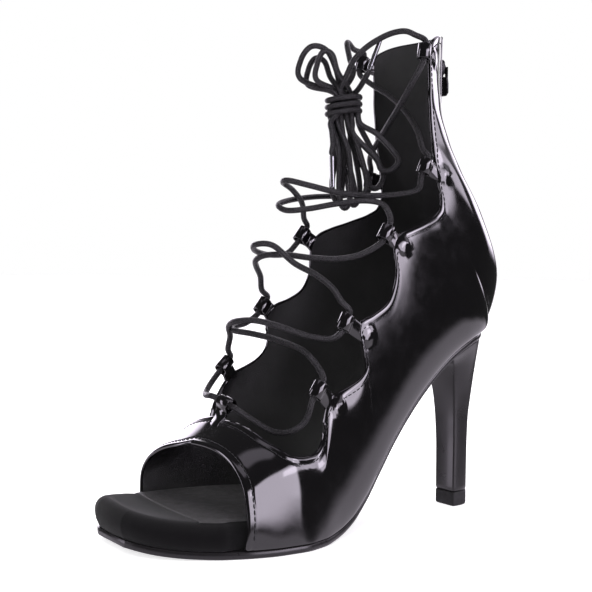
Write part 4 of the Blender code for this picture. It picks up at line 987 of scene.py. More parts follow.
class Upper:
    """The patent upper: outer face with turned edges, lining, stitches and raised loop tabs."""

    PER_ROW = 6
    ROWS = 44
    EDGE_BEAD = 0.22
    BEAD_WIDTH = 1.7
    STITCH_INSET = 2.9
    STITCH_LENGTH = 1.9
    STITCH_PITCH = 2.7
    THREAD = 0.24
    BUMP_HALF_LENGTH = 2.9
    BUMP_HALF_WIDTH = 3.9
    BUMP_HEIGHT = 0.9
    BUMP_REACH = 5.2

    def __init__(self, finishes: Finishes) -> None:
        """Work out both sides' columns and the raised spots."""
        self.finishes = finishes
        self.maker = Maker()
        self.tabs = [self._tab_bump(place) for place in LOOP_PLACES if place.name != "vamp"]
        lateral = self._columns(Side.LATERAL, LATERAL_EDGE)
        medial = self._columns(Side.MEDIAL, MEDIAL_EDGE)
        self.columns = lateral + medial[-2:0:-1]

    @classmethod
    def _tab_bump(cls, place: LoopPlace) -> tuple[Side, Vector, Vector, Vector]:
        """Return a tab's side, the middle of its bump, and the bump's two directions."""
        crossing, way = throat_crossing(place.side, place.middle[1:], place.anchor)
        spot = (crossing[0] + way[0] * cls.BUMP_REACH, crossing[1] + way[1] * cls.BUMP_REACH)
        s, v = FORM.place_of(*spot)
        normal = FORM.normal(s, v, place.side)
        middle = FORM.skin(s, v, place.side) - normal * edge_turn(place.side, spot[0], cls.BUMP_REACH)
        along = Vector((0.0, *way))
        along = (along - normal * along.dot(normal)).normalized()
        return place.side, middle, along, normal.cross(along)

    def _columns(self, side: Side, table: Sequence[EdgeRow]) -> list[Column]:
        """Return one side's columns, from the toe round to the back seam.

        Args:
            side: The side of the boot.
            table: That side's edge rows, toe first.

        Returns:
            The columns, with the throat's edge already curled in.
        """
        throat = [FORM.place_of(row.throat_y, row.throat_z) for row in table]
        outer = [
            FORM.feather_place(row.edge_y) if row.edge_z is None
            else FORM.place_of(row.edge_y, row.edge_z)
            for row in table
        ]
        throat[0], outer[0] = (throat[0][0], 1.0), (outer[0][0], 1.0)
        throat[-1], outer[-1] = (FORM.last_place, 0.0), (HEEL_CORNER, 0.0)
        first_feather = next(i for i, row in enumerate(table) if row.edge_z is None)
        columns = []
        inner = smooth_through(throat, self.PER_ROW)
        for c, (inner_end, outer_end) in enumerate(zip(inner, smooth_through(outer, self.PER_ROW))):
            def place(u: float) -> tuple[float, float]:
                """Return (s, v) at share u of the way from the outer edge to the throat."""
                s = outer_end[0] + (inner_end[0] - outer_end[0]) * u
                v = outer_end[1] + (inner_end[1] - outer_end[1]) * u
                return s, min(1.0, max(0.0, v))

            rough = [FORM.skin(*place(k / 12), side) for k in range(13)]
            length = max(length_of(rough), 4.0)
            rimmed = c < first_feather * self.PER_ROW
            start = WALL / 2 / length if rimmed else 0.0
            end = 1 - WALL / 2 / length
            points, normals = [], []
            for k in range(self.ROWS + 1):
                t = k / self.ROWS
                t = t + 0.16 * math.sin(2 * math.pi * t) / (2 * math.pi) * -1.0
                s, v = place(start + (end - start) * t)
                points.append(FORM.skin(s, v, side))
                normals.append(FORM.normal(s, v, side))
            reach = 0.0
            for k in range(self.ROWS, -1, -1):
                if k < self.ROWS:
                    reach += (old - points[k]).length
                old = points[k]
                points[k] = old - normals[k] * edge_turn(side, old.y, reach)
            columns.append(Column(side, points, normals, rimmed))
        return columns

    def _relief(self, column: Column, k: int, to_throat: float, to_foot: float) -> float:
        """Return how far one point of the outer face stands out of the plain skin."""
        lift = 0.0
        edges = [to_throat] + ([to_foot] if column.rimmed_foot else [])
        for reach in edges:
            if reach < self.BEAD_WIDTH:
                lift += self.EDGE_BEAD * math.sin(math.pi * (reach + 0.5) / (self.BEAD_WIDTH + 0.5))
            lift -= 0.22 * math.exp(-((reach - self.STITCH_INSET) / 0.5) ** 2)
        point = column.points[k]
        for side, middle, along, across in self.tabs:
            if side is not column.side:
                continue
            away = point - middle
            if away.length > 14.0:
                continue
            a, b = abs(away.dot(along)) / self.BUMP_HALF_LENGTH, abs(away.dot(across)) / self.BUMP_HALF_WIDTH
            reach = (a ** 2.6 + b ** 2.6) ** (1 / 2.6)
            lift += self.BUMP_HEIGHT * smooth_step((1.25 - reach) / 0.5)
        return lift

    @staticmethod
    def _reaches(points: Sequence[Vector]) -> list[float]:
        """Return the length along a row of points up to each of them."""
        reaches = [0.0]
        for p, q in zip(points, points[1:]):
            reaches.append(reaches[-1] + (q - p).length)
        return reaches

    @staticmethod
    def _rim(point: Vector, normal: Vector, onward: Vector, steps: int) -> list[Vector]:
        """Return the turned edge's points, from the outer face round to the lining."""
        onward = (onward - normal * onward.dot(normal)).normalized()
        middle, radius = point - normal * (WALL / 2), WALL / 2
        return [
            middle + (normal * math.cos(math.pi * k / steps)
                      + onward * math.sin(math.pi * k / steps)) * radius
            for k in range(1, steps)
        ]

    def build(self) -> None:
        """Make the outer face, the lining and the stitches."""
        outer, lining, throat_line, toe_line = [], [], [], []
        for column in self.columns:
            reaches = self._reaches(column.points)
            total = reaches[-1]
            face = []
            for k, (point, normal) in enumerate(zip(column.points, column.normals)):
                lift = self._relief(column, k, total - reaches[k], reaches[k])
                face.append(point + normal * lift)
            rim = self._rim(column.points[-1], column.normals[-1],
                            column.points[-1] - column.points[-3], 8)
            foot = self._rim(column.points[0], column.normals[0],
                             column.points[0] - column.points[2], 8) if column.rimmed_foot else None
            if foot is None:
                tuck = column.points[0] - column.normals[0] * 0.4
                foot = [tuck + (column.points[0] - tuck) * (1 - k / 8) for k in range(1, 8)]
            outer.append(foot[::-1] + face + rim)
            lining.append([p - n * WALL for p, n in zip(column.points, column.normals)])
            throat_line.append(self._inset(column, reaches, total - self.STITCH_INSET))
            if column.rimmed_foot:
                toe_line.append(self._inset(column, reaches, self.STITCH_INSET))
        outer.append(outer[0])
        lining.append(lining[0])
        points, faces = Maker.grid(outer, flip=True)
        self.maker.piece("upper_patent", points, faces, self.finishes.patent, Slot.UPPER,
                         ["upper"], weld=False)
        points, faces = Maker.grid(lining)
        self.maker.piece("upper_lining", points, faces, self.finishes.lining, Slot.UPPER)
        count = len(toe_line) // 2
        toe = toe_line[count:] + toe_line[:count]
        self._stitches("throat_stitches", throat_line + throat_line[:1])
        self._stitches("toe_stitches", toe)

    @staticmethod
    def _inset(column: Column, reaches: Sequence[float], reach: float) -> tuple[Vector, Vector]:
        """Return the outer face's point and normal at one reach along a column."""
        i = min(max(bisect.bisect_right(reaches, reach) - 1, 0), len(reaches) - 2)
        part = (reach - reaches[i]) / (reaches[i + 1] - reaches[i])
        point = column.points[i].lerp(column.points[i + 1], part)
        return point, column.normals[i]

    def _stitches(self, name: str, line: Sequence[tuple[Vector, Vector]]) -> None:
        """Lay a row of short stitches along a line of points and normals."""
        reaches = self._reaches([point for point, _ in line])
        parts = []
        count = int(reaches[-1] / self.STITCH_PITCH)
        for n in range(count):
            route = []
            for k in range(5):
                reach = (n + 0.5) * self.STITCH_PITCH + self.STITCH_LENGTH * (k / 4 - 0.5)
                i = min(max(bisect.bisect_right(reaches, reach) - 1, 0), len(line) - 2)
                span = max(reaches[i + 1] - reaches[i], 1e-6)
                part = (reach - reaches[i]) / span
                arch = 0.30 * math.sin(math.pi * k / 4) - 0.16
                route.append(line[i][0].lerp(line[i + 1][0], part) + line[i][1] * arch)
            points, faces, _ = Maker.sweep(route, self.THREAD, 6)
            parts.append((points, faces))
        points, faces = Maker.merge(parts)
        self.maker.piece(name, points, faces, self.finishes.thread, Slot.UPPER)


# --------------------------------------------------------------------------- sole and heel


@dataclass(frozen=True)
class HeelRow:
    """A section of the heel block; level None is the seat itself."""

    level: float | None
    front: float
    back: float
    half_width: float
    follow: float


class SoleUnit:
    """The outsole, padded footbed, sock, heel block and top lift."""

    CORNER_REACH = 7.0
    STATIONS = 150
    HEEL_ROWS = [
        HeelRow(TIP_HEIGHT + GAP, -6.0, 7.6, 7.1, 0.0), HeelRow(30.0, -6.0, 7.7, 7.3, 0.0),
        HeelRow(46.0, -6.5, 8.2, 7.8, 0.0), HeelRow(58.0, -7.4, 9.9, 8.6, 0.0),
        HeelRow(67.5, -8.8, 11.4, 9.8, 0.1), HeelRow(76.0, -10.8, 12.7, 11.6, 0.35),
        HeelRow(81.0, -13.2, 13.2, 13.8, 0.7), HeelRow(84.6, -15.6, 13.2, 16.0, 0.9),
        HeelRow(None, -18.0, 13.2, 17.6, 1.0),
    ]

    def __init__(self, finishes: Finishes) -> None:
        """Keep the finishes."""
        self.finishes = finishes
        self.maker = Maker()

    def build(self) -> None:
        """Make every piece of the sole unit."""
        self._outsole()
        self._footbed()
        self._heel()
        self._top_lift()

    def _stations(self, first: float, last: float) -> list[float]:
        """Return places from first to last, closer together near both ends."""
        count = self.STATIONS
        return [first + (last - first) * (1 - math.cos(math.pi * k / count)) / 2
                for k in range(count + 1)]

    @staticmethod
    def closed(rings: Sequence[Sequence[Vector]]) -> tuple[list[Vector], list[tuple[int, ...]]]:
        """Return a grid through closed rings, with a flat cap at each end."""
        points, faces = Maker.grid(rings, closed=True)
        count = len(rings[0])
        faces.append(tuple(range(count))[::-1])
        faces.append(tuple((len(rings) - 1) * count + k for k in range(count)))
        return points, faces

    def _outsole(self) -> None:
        """Make the thin outsole, with its rounded edge."""
        rings = []
        for y in self._stations(-193.7, SEAT_END - 0.3):
            low, high = FORM.underside(y), FORM.sole_top(y)
            lateral, medial = FORM.plan(y, Side.LATERAL), FORM.plan(y, Side.MEDIAL)
            middle = (low + high) / 2
            ring = []
            for sign, half in ((1, lateral), (-1, medial)):
                corners = [(half - 5.0, low), (half - 1.1, low), (half - 0.45, low + 0.12),
                           (half - 0.1, low + 0.5), (half + 0.1, middle), (half, high - 0.45),
                           (half - 0.2, high - 0.12), (half - 0.7, high), (half - 6.0, high)]
                corners = [(max(x, 0.0), z) for x, z in corners]
                ring += [Vector((sign * x, y, z)) for x, z in (corners if sign > 0 else corners[::-1])]
            rings.append(ring)
        points, faces = self.closed(rings)
        self.maker.piece("outsole_leather", points, faces, self.finishes.sole_edge, Slot.SOLE,
                         ["outsole"], weld=True)

    @staticmethod
    def _smoothed_inset(y: float, side: Side) -> float:
        """Return how far the footbed's side stands in from the sole's edge, past the toe opening."""
        start = -156.0 if side is Side.LATERAL else -170.0
        return (WALL + GAP + 0.3) * smooth_step((y - start + 6.0) / 6.0)

    @staticmethod
    def _thickness(y: float) -> float:
        """Return how thick the footbed is at y."""
        t = smooth_step((y + 116.0) / 46.0)
        return PLATFORM_THICKNESS * (1 - t) + SHANK_THICKNESS * t

    def _outline(self) -> tuple[list[Vector], list[Vector]]:
        """Return the footbed's outline as two rows of (x, y), lateral and medial, toe first."""
        lateral, medial = [], []
        ys = self._stations(-194.0, SEAT_END - 2.6)
        nose = 14
        for k in range(nose):
            across = k / nose
            bow = 0.9 * math.cos(math.pi / 2 * across)
            lateral.append(Vector((-9.0 + 13.0 * across, -194.0 - bow)))
            medial.append(Vector((-9.0 - 13.0 * across, -194.0 - bow)))
        for y in ys:
            lateral.append(Vector((FORM.plan(y, Side.LATERAL) - self._smoothed_inset(y, Side.LATERAL), y)))
            medial.append(Vector((-(FORM.plan(y, Side.MEDIAL) - self._smoothed_inset(y, Side.MEDIAL)), y)))
        return lateral, medial

    @classmethod
    def _inward(cls, outline: Sequence[Vector]) -> list[Vector]:
        """Return unit ways in from an outline that runs toe-ward up the medial side and back."""
        runs = [0.0]
        for p, q in zip(outline, outline[1:]):
            runs.append(runs[-1] + (q - p).length)

        def at(run: float) -> Vector:
            """Return the outline's point at a run along it."""
            i = min(max(bisect.bisect_right(runs, run) - 1, 0), len(runs) - 2)
            part = min(max((run - runs[i]) / max(runs[i + 1] - runs[i], 1e-6), 0.0), 1.0)
            return outline[i].lerp(outline[i + 1], part)

        ways = [at(run + cls.CORNER_REACH) - at(run - cls.CORNER_REACH) for run in runs]
        return [Vector((-way.y, way.x)).normalized() for way in ways]

    def _footbed(self) -> None:
        """Make the padded footbed and the sock leather that lies on it."""
        lateral, medial = self._outline()
        lateral[0] = medial[0] = (lateral[0] + medial[0]) / 2
        # Steps over the padded edge: how far in, and the part of the height, bottom to top.
        steps = [(1.4, 0.0), (0.5, 0.06), (-0.5, 0.2), (-1.1, 0.38), (-1.2, 0.5)]
        radius = 6.6
        for k in range(1, 9):
            angle = math.pi / 2 * k / 8
            steps.append((-1.2 + radius * (1 - math.cos(angle)), 0.5 + 0.5 * math.sin(angle)))
        rows, centre_line = [], []
        for i in range(len(lateral)):
            y = lateral[i].y
            thick = self._thickness(y)
            lift = MEDIAL_RAISE * max(0.0, (thick - SHANK_THICKNESS) / (PLATFORM_THICKNESS - SHANK_THICKNESS))
            centre_line.append((y, thick, lift))
        ways = self._inward(medial[::-1] + lateral[1:])
        middle = len(medial) - 1
        sides: dict[int, list[list[Vector]]] = {1: [], -1: []}
        for sign, row in ((1, lateral), (-1, medial)):
            for reach, part in steps:
                ring = []
                for i, point in enumerate(row):
                    _, thick, lift = centre_line[i]
                    inner = point + ways[middle + sign * i] * (reach * min(1.0, thick / 9.0))
                    height = thick + lift * smooth_step(0.5 - inner.x / 56.0)
                    low = FORM.sole_top(min(max(inner.y, -194.0), SEAT_END)) + 0.05
                    ring.append(Vector((inner.x, inner.y, low + height * part)))
                sides[sign].append(ring)
        count = len(lateral)
        rings = []
        for i in range(count):
            up = [ring[i] for ring in sides[1]]
            down = [ring[i] for ring in sides[-1]][::-1]
            a, b = up[-1], down[0]
            dish = 0.9 * min(1.0, centre_line[i][1] / 8) * smooth_step(abs(a.x - b.x) / 40)
            across = [
                a.lerp(b, k / 8) - Vector((0, 0, dish * (1 - (2 * k / 8 - 1) ** 2)))
                for k in range(1, 8)
            ]
            rings.append(up + across + down)
        points, faces = self.closed(rings)
        self.maker.piece("footbed_suede", points, faces, self.finishes.suede, Slot.FOOTBED,
                         ["insole"], weld=True)
        first = len(steps) - 3
        sock = [
            [p + Vector((0, 0, 0.45)) for p in ring[first:len(ring) - first]]
            for ring in rings if ring[len(ring) // 2].y > -170.0
        ]
        edge = [Vector((p.x, p.y - 0.25, p.z - 0.5)) for p in sock[0]]
        points, faces = Maker.grid([edge] + sock, flip=True)
        self.maker.piece("sock_leather", points, faces, self.finishes.sock, Slot.FOOTBED, weld=True)

    def _heel_ring(self, front: float, back: float, half: float, height: Callable[[float], float],
                   inset: float = 0.0) -> list[Vector]:
        """Return one section of the heel: flat in front and round behind.

        Args:
            front: Y of its front face.
            back: Y of its back.
            half: Its half width.
            height: Gives the height at each y.
            inset: How far the whole outline moves in.

        Returns:
            The section's points in order.
        """
        corner, steps = 0.9, 40
        front, back, half = front + inset, back - inset, half - inset
        outline = []
        for sign in (-1, 1):
            arc = []
            for k in range(5):
                angle = math.pi / 2 * k / 4
                arc.append((sign * (half - corner + corner * math.sin(angle)),
                            front + corner - corner * math.cos(angle)))
            outline += arc[::-1] if sign < 0 else arc
        for k in range(1, steps):
            angle = math.pi * k / steps
            c, s = math.cos(angle), math.sin(angle)
            x = half * math.copysign(abs(c) ** 0.88, c)
            y = front + corner + (back - front - corner) * s ** 0.92
            outline.append((x, y))
        return [Vector((x, y, height(y))) for x, y in outline]

    def _heel(self) -> None:
        """Make the heel block, from the top lift up to the seat."""
        middle = FORM.underside(0.0) - 0.05
        levels = [middle if row.level is None else row.level for row in self.HEEL_ROWS]
        curves = {
            name: monotone(levels, [getattr(row, name) for row in self.HEEL_ROWS])
            for name in ("front", "back", "half_width", "follow")
        }
        rings = []
        count = 60
        for k in range(count + 1):
            level = levels[0] + (levels[-1] - levels[0]) * k / count
            follow = curves["follow"](level)

            def height(y: float) -> float:
                """Return this section's height at y; it follows the sole near the seat."""
                return level + follow * (FORM.underside(y) - 0.05 - middle)

            rings.append(self._heel_ring(curves["front"](level), curves["back"](level),
                                         curves["half_width"](level), height,
                                         0.25 if k == 0 else 0.0))
        points, faces = self.closed(rings)
        self.maker.piece("heel_block", points, faces, self.finishes.heel, Slot.HEEL, ["heel"],
                         weld=True)

    def _top_lift(self) -> None:
        """Make the top lift under the heel."""
        foot = self.HEEL_ROWS[0]
        rings = []
        for z, inset in ((0.0, 0.75), (0.12, 0.4), (0.5, 0.1), (1.0, 0.0),
                         (TIP_HEIGHT - 0.4, 0.0), (TIP_HEIGHT - 0.1, 0.15), (TIP_HEIGHT + 0.15, 0.5)):
            rings.append(self._heel_ring(foot.front, foot.back, foot.half_width, lambda y, z=z: z, inset))
        points, faces = self.closed(rings)
        self.maker.piece("top_lift", points, faces, self.finishes.rubber, Slot.HEEL_TIP,
                         ["heel_tip"], weld=True)


# --------------------------------------------------------------------------- lace loops


class LaceLoops:
    """Eleven patent loops, each a strap rolled round the lace with its ends in the upper."""

    STRAP = 0.7
    PAST_EDGE = 6.4

    def __init__(self, finishes: Finishes) -> None:
        """Work out every loop's place."""
        self.finishes = finishes
        self.maker = Maker()
        self.frames = {place.name: self._frame(place) for place in LOOP_PLACES}

    @staticmethod
    def _frame(place: LoopPlace) -> tuple[Vector, Vector]:
        """Return the middle of a loop's tube and the way through it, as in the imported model."""
        middle = Vector(place.middle)
        if place.name == "vamp":
            anchor = Vector((-5.0, *place.anchor)) + Vector((0, -0.75, 0.66)) * place.lift
        else:
            s, v = FORM.place_of(*place.anchor)
            anchor = FORM.skin(s, v, place.side)
            anchor = anchor + FORM.normal(s, v, place.side) * (place.lift + 0.6)
        toward = (anchor - middle).normalized()
        run = Vector(place.run)
        return middle, (run - toward * run.dot(toward)).normalized()

    def build(self) -> None:
        """Make every loop."""
        for place in LOOP_PLACES:
            self._loop(place)

    def _stem(self, place: LoopPlace) -> tuple[list[Vector], Vector]:
        """Return the strap's middle line from the tube into the wall, and the skin's normal there."""
        middle = Vector(place.middle)
        if place.name == "vamp":
            normal = Vector((0.0, -0.75, 0.66)).normalized()
            edge = Vector((-4.4, -141.6, 55.2))
            onward = Vector((0.0, -0.66, -0.75)).normalized()
            return [edge - onward * 0.4, edge + onward * 3.0, edge + onward * 6.0], normal
        crossing, way = throat_crossing(place.side, place.middle[1:], place.anchor)
        knots = []
        for reach in (0.2, 3.2, self.PAST_EDGE):
            s, v = FORM.place_of(crossing[0] + way[0] * reach, crossing[1] + way[1] * reach)
            normal = FORM.normal(s, v, place.side)
            turn = edge_turn(place.side, crossing[0], reach)
            knots.append(FORM.skin(s, v, place.side) - normal * (WALL / 2 + turn))
        return knots, normal

    def _loop(self, place: LoopPlace) -> None:
        """Make one loop: a strap out of the wall, round the lace and back in."""
        middle, run = self.frames[place.name]
        stem, normal = self._stem(place)
        toward = stem[0] - middle
        toward = (toward - run * toward.dot(run)).normalized()
        other = toward.cross(run)
        centre = LOOP_OUTER / 2 - self.STRAP / 2
        half = self.STRAP / 2 + 0.03
        opening = math.asin(half / centre) + 0.3
        # Each station is a point of the strap's middle, its width's way and its face's way.
        turned = (run - normal * run.dot(normal)).normalized()
        start = middle + toward * (centre + 1.3)
        spine = [Vector(p) for p in smooth_through([tuple(start), *map(tuple, stem)], 6)]
        leg = []
        for i, point in enumerate(spine):
            part = i / (len(spine) - 1)
            wide = run.lerp(turned, smooth_step(part * 1.6)).normalized()
            way = (spine[min(i + 1, len(spine) - 1)] - spine[max(i - 1, 0)]).normalized()
            face = way.cross(wide).normalized()
            if face.dot(other) < 0:
                face = -face
            leg.append((point, wide, face))
        stations = [(point + face * half, wide, face) for point, wide, face in leg[::-1]]
        for k in range(29):
            angle = opening + (2 * math.pi - 2 * opening) * k / 28
            out = toward * math.cos(angle) + other * math.sin(angle)
            stations.append((middle + out * centre, run, out))
        stations += [(point - face * half, wide, -face) for point, wide, face in leg]
        width, rounding = LOOP_LENGTH / 2, 0.2
        section = [(-width + rounding, 1), (-width + 0.05, 0.7), (-width, 0.3), (-width, -0.3),
                   (-width + 0.05, -0.7), (-width + rounding, -1), (width - rounding, -1),
                   (width - 0.05, -0.7), (width, -0.3), (width, 0.3), (width - 0.05, 0.7),
                   (width - rounding, 1)]
        rows = [
            [point + wide * along + face * (level * self.STRAP / 2) for along, level in section]
            for point, wide, face in stations
        ]
        points, faces = SoleUnit.closed(rows)
        self.maker.piece("lace_loop_" + place.name, points, faces, self.finishes.patent, Slot.LOOPS,
                         ["loop_" + place.name], weld=True)


# --------------------------------------------------------------------------- lacing


class Lacing:
    """The lace: its crossings, its two wound ends with the knot, and the two hard tips."""

    STEP = 0.8
    FINE = 12
    RADIUS = LACE_DIAMETER / 2
    AGLET_LENGTH = 15.0
    AGLET_RADIUS = 1.2

    # Loops that hang below the knot: across and up of the tip, half width there, outward.
    HANGING = [
        (-2.6, -48.6, 2.3, 1.6), (1.6, -52.6, 2.6, 4.6), (5.6, -50.6, 2.6, -2.4),
        (8.8, -47.6, 3.0, 2.0), (16.0, -42.2, 3.6, -1.4), (22.2, -33.6, 4.8, 2.6),
    ]
    # Loops that stand above the knot: across and up of the far end, half width, outward.
    STANDING = [(-14.0, 29.6, 7.6, 2.0), (-13.4, 24.4, 4.8, -2.0), (-8.6, 26.6, 4.4, 4.2)]

    def __init__(self, finishes: Finishes, loops: LaceLoops) -> None:
        """Keep the finishes and the loops."""
        self.finishes = finishes
        self.loops = loops
        self.maker = Maker()

    def build(self) -> None:
        """Make the crossings and the two ends."""
        lateral = self._route(LATERAL_START, reverse=False)
        medial = self._route(MEDIAL_START, reverse=True)
        crossings = evenly(lateral[::-1] + medial[1:], self.STEP)
        self.maker.tube("lace_through_loops", crossings, self.RADIUS, self.finishes.cord, Slot.LACE,
                        replaces=["lace_crossings"])
        self._end("lace_outer_end", lateral, LATERAL_END, (0, 2, 4), (0, 2), True,
                  ["lace_end_lateral", "lace_knot", "lace_hank_foot"], 1, (15.6, 24.5, 4.0), 20.0)
        self._end("lace_inner_end", medial, MEDIAL_END, (1, 3, 5), (1,), False,
                  ["lace_end_medial", "lace_hank_top"], 2, (-4.6, -34.0, 8.2), -2.0)

    def _route(self, stretches: Sequence[Stretch], reverse: bool) -> list[Vector]:
        """Return the lace from the vamp loop up to past the top loop."""
        lead = LOOP_LENGTH / 2 + 1.8
        knots: list[Vector] = []
        for stretch in stretches:
            middle, run = self.loops.frames[stretch.start]
            way = -run if reverse and stretch.start == "vamp" else run
            if not knots:
                knots.append(middle)
            knots.append(middle + way * lead)
            knots += [Vector(p) for p in stretch.points]
            middle, run = self.loops.frames[stretch.end]
            knots += [middle - run * lead, middle]
        knots.append(middle + run * lead)
        return [Vector(p) for p in smooth_through([tuple(p) for p in knots], self.FINE)]

    @staticmethod
    def _place(across: float, up: float, outward: float) -> Vector:
        """Return the point at a place in the bunch's own directions."""
        return KNOT + ACROSS * across + OUTWARD * outward + Vector((0, 0, up))

    def _hanging(self, index: int, slot: int) -> list[tuple[float, float, float]]:
        """Return a hanging loop's points, starting and ending inside the knot."""
        across, up, half, outward = self.HANGING[index]
        enter, leave = self._slot(slot), self._slot(slot + 1)
        return [
            enter, (enter[0] * 0.9 + across * 0.08 - 0.4, -9.0, enter[2] * 0.9),
            (across * 0.45 - half * 0.9, 0.45 * up, outward),
            (across - half * 1.15, 0.80 * up, outward), (across - half * 0.55, 0.965 * up, outward + 0.2),
            (across + half * 0.55, 0.965 * up, outward + 0.6),
            (across + half * 1.15, 0.80 * up, outward + 0.8),
            (across * 0.62 + half * 0.8, 0.45 * up, outward + 0.8),
            (leave[0] * 0.9 + across * 0.12 + 0.4, -9.0, leave[2] * 0.9), leave,
        ]

    def _standing(self, index: int, slot: int) -> list[tuple[float, float, float]]:
        """Return a standing loop's points, starting and ending inside the knot."""
        across, up, half, outward = self.STANDING[index]
        enter, leave = self._slot(slot), self._slot(slot + 1)
        return [
            enter, (enter[0] - 1.0, 6.6, enter[2]),
            (across - half, 0.45 * up, outward), (across - half, 0.78 * up, outward),
            (across - half * 0.3, 1.0 * up, outward + 0.2), (across + half * 0.7, 0.93 * up, outward + 0.5),
            (across + half * 1.35, 0.6 * up, outward + 0.6), (leave[0] - 0.6, 7.2, leave[2] + 0.4), leave,
        ]

    @staticmethod
    def _slot(index: int) -> tuple[float, float, float]:
        """Return one of the places inside the knot that a strand runs through."""
        column, row = index % 6, (index // 6) % 2
        return (-6.0 + 2.4 * column, 0.6 * (index % 3 - 1), 1.7 if row else -1.7)

    def _wraps(self, turns: int) -> list[tuple[float, float, float]]:
        """Return the turns of the lace round the knot."""
        points = []
        steps = 10
        for k in range(turns * steps + 1):
            angle = 2 * math.pi * k / steps - math.pi / 2
            across = 8.2 * math.cos(angle)
            rise = 3.4 * (k / steps - turns / 2) + 0.2 * across
            points.append((across, rise, 4.9 * math.sin(angle)))
        return points

    def _end(self, name: str, route: Sequence[Vector], start: Sequence[tuple[float, float, float]],
             hanging: Sequence[int], standing: Sequence[int], wraps: bool,
             replaces: Sequence[str], number: int, tip: tuple[float, float, float],
             lean: float) -> None:
        """Make one free end, from its top loop through the hank to its hard tip."""
        exit_point = route[-1 - self.FINE]
        knots = [exit_point, route[-1]] + [Vector(p) for p in start[:-1]]
        local: list[tuple[float, float, float]] = []
        slot = 0 if wraps else 6
        for turn, index in enumerate(hanging):
            local += self._hanging(index, slot + 2 * turn)
            if turn < len(standing):
                local += self._standing(standing[turn], slot + 2 * turn + 1)[1:-1]
        if wraps:
            local += [(-4.0, 1.0, -4.4)] + self._wraps(3)[1:]
        way = math.radians(lean)
        direction = ACROSS * math.sin(way) + Vector((0, 0, math.cos(way)))
        middle = self._place(*tip)
        if wraps:
            local.append((6.4, 7.4, -1.0))
            near = middle - direction * (self.AGLET_LENGTH / 2)
            far = middle + direction * (self.AGLET_LENGTH / 2)
        else:
            local += [(-5.2, -7.5, 4.6), (-5.0, -14.0, 7.6), (-4.4, -20.0, 8.2)]
            near = middle + direction * (self.AGLET_LENGTH / 2)
            far = middle - direction * (self.AGLET_LENGTH / 2)
        knots += [self._place(*p) for p in local]
        knots += [near.lerp(far, -0.15), near, middle, near.lerp(far, 0.9)]
        fine = [Vector(p) for p in smooth_through([tuple(p) for p in knots], self.FINE)]
        path = evenly(fine, self.STEP)
        whole = length_of(path)

        def squeezed(part: float) -> float:
            """Return the cord's size at a part of its length; it narrows inside its tip."""
            return 1.0 - 0.36 * smooth_step((part * whole - whole + 15.5) / 1.6)

        cord = self.maker.tube(name, path, self.RADIUS, self.finishes.cord, Slot.LACE,
                               replaces=replaces, taper=squeezed)
        aglet = self._aglet(number, near, far)
        log.info("%s: %.0f mm", name, length_of(path))

    def _aglet(self, number: int, near: Vector, far: Vector) -> bpy.types.Object:
        """Make one hard tip, with a crimped ring near its near end, narrowing toward its far end."""
        def taper(part: float) -> float:
            """Return the tip's size at a part of its length."""
            ring = 0.06 * math.exp(-((part - 0.12) / 0.03) ** 2)
            return 1.0 - 0.10 * smooth_step((part - 0.7) / 0.3) + ring

        route = evenly([near, far], 0.4)
        return self.maker.tube(f"lace_tip_{number}", route, self.AGLET_RADIUS, self.finishes.aglet,
                               Slot.AGLET, 20, [f"aglet_{number}"], taper)


# --------------------------------------------------------------------------- zip


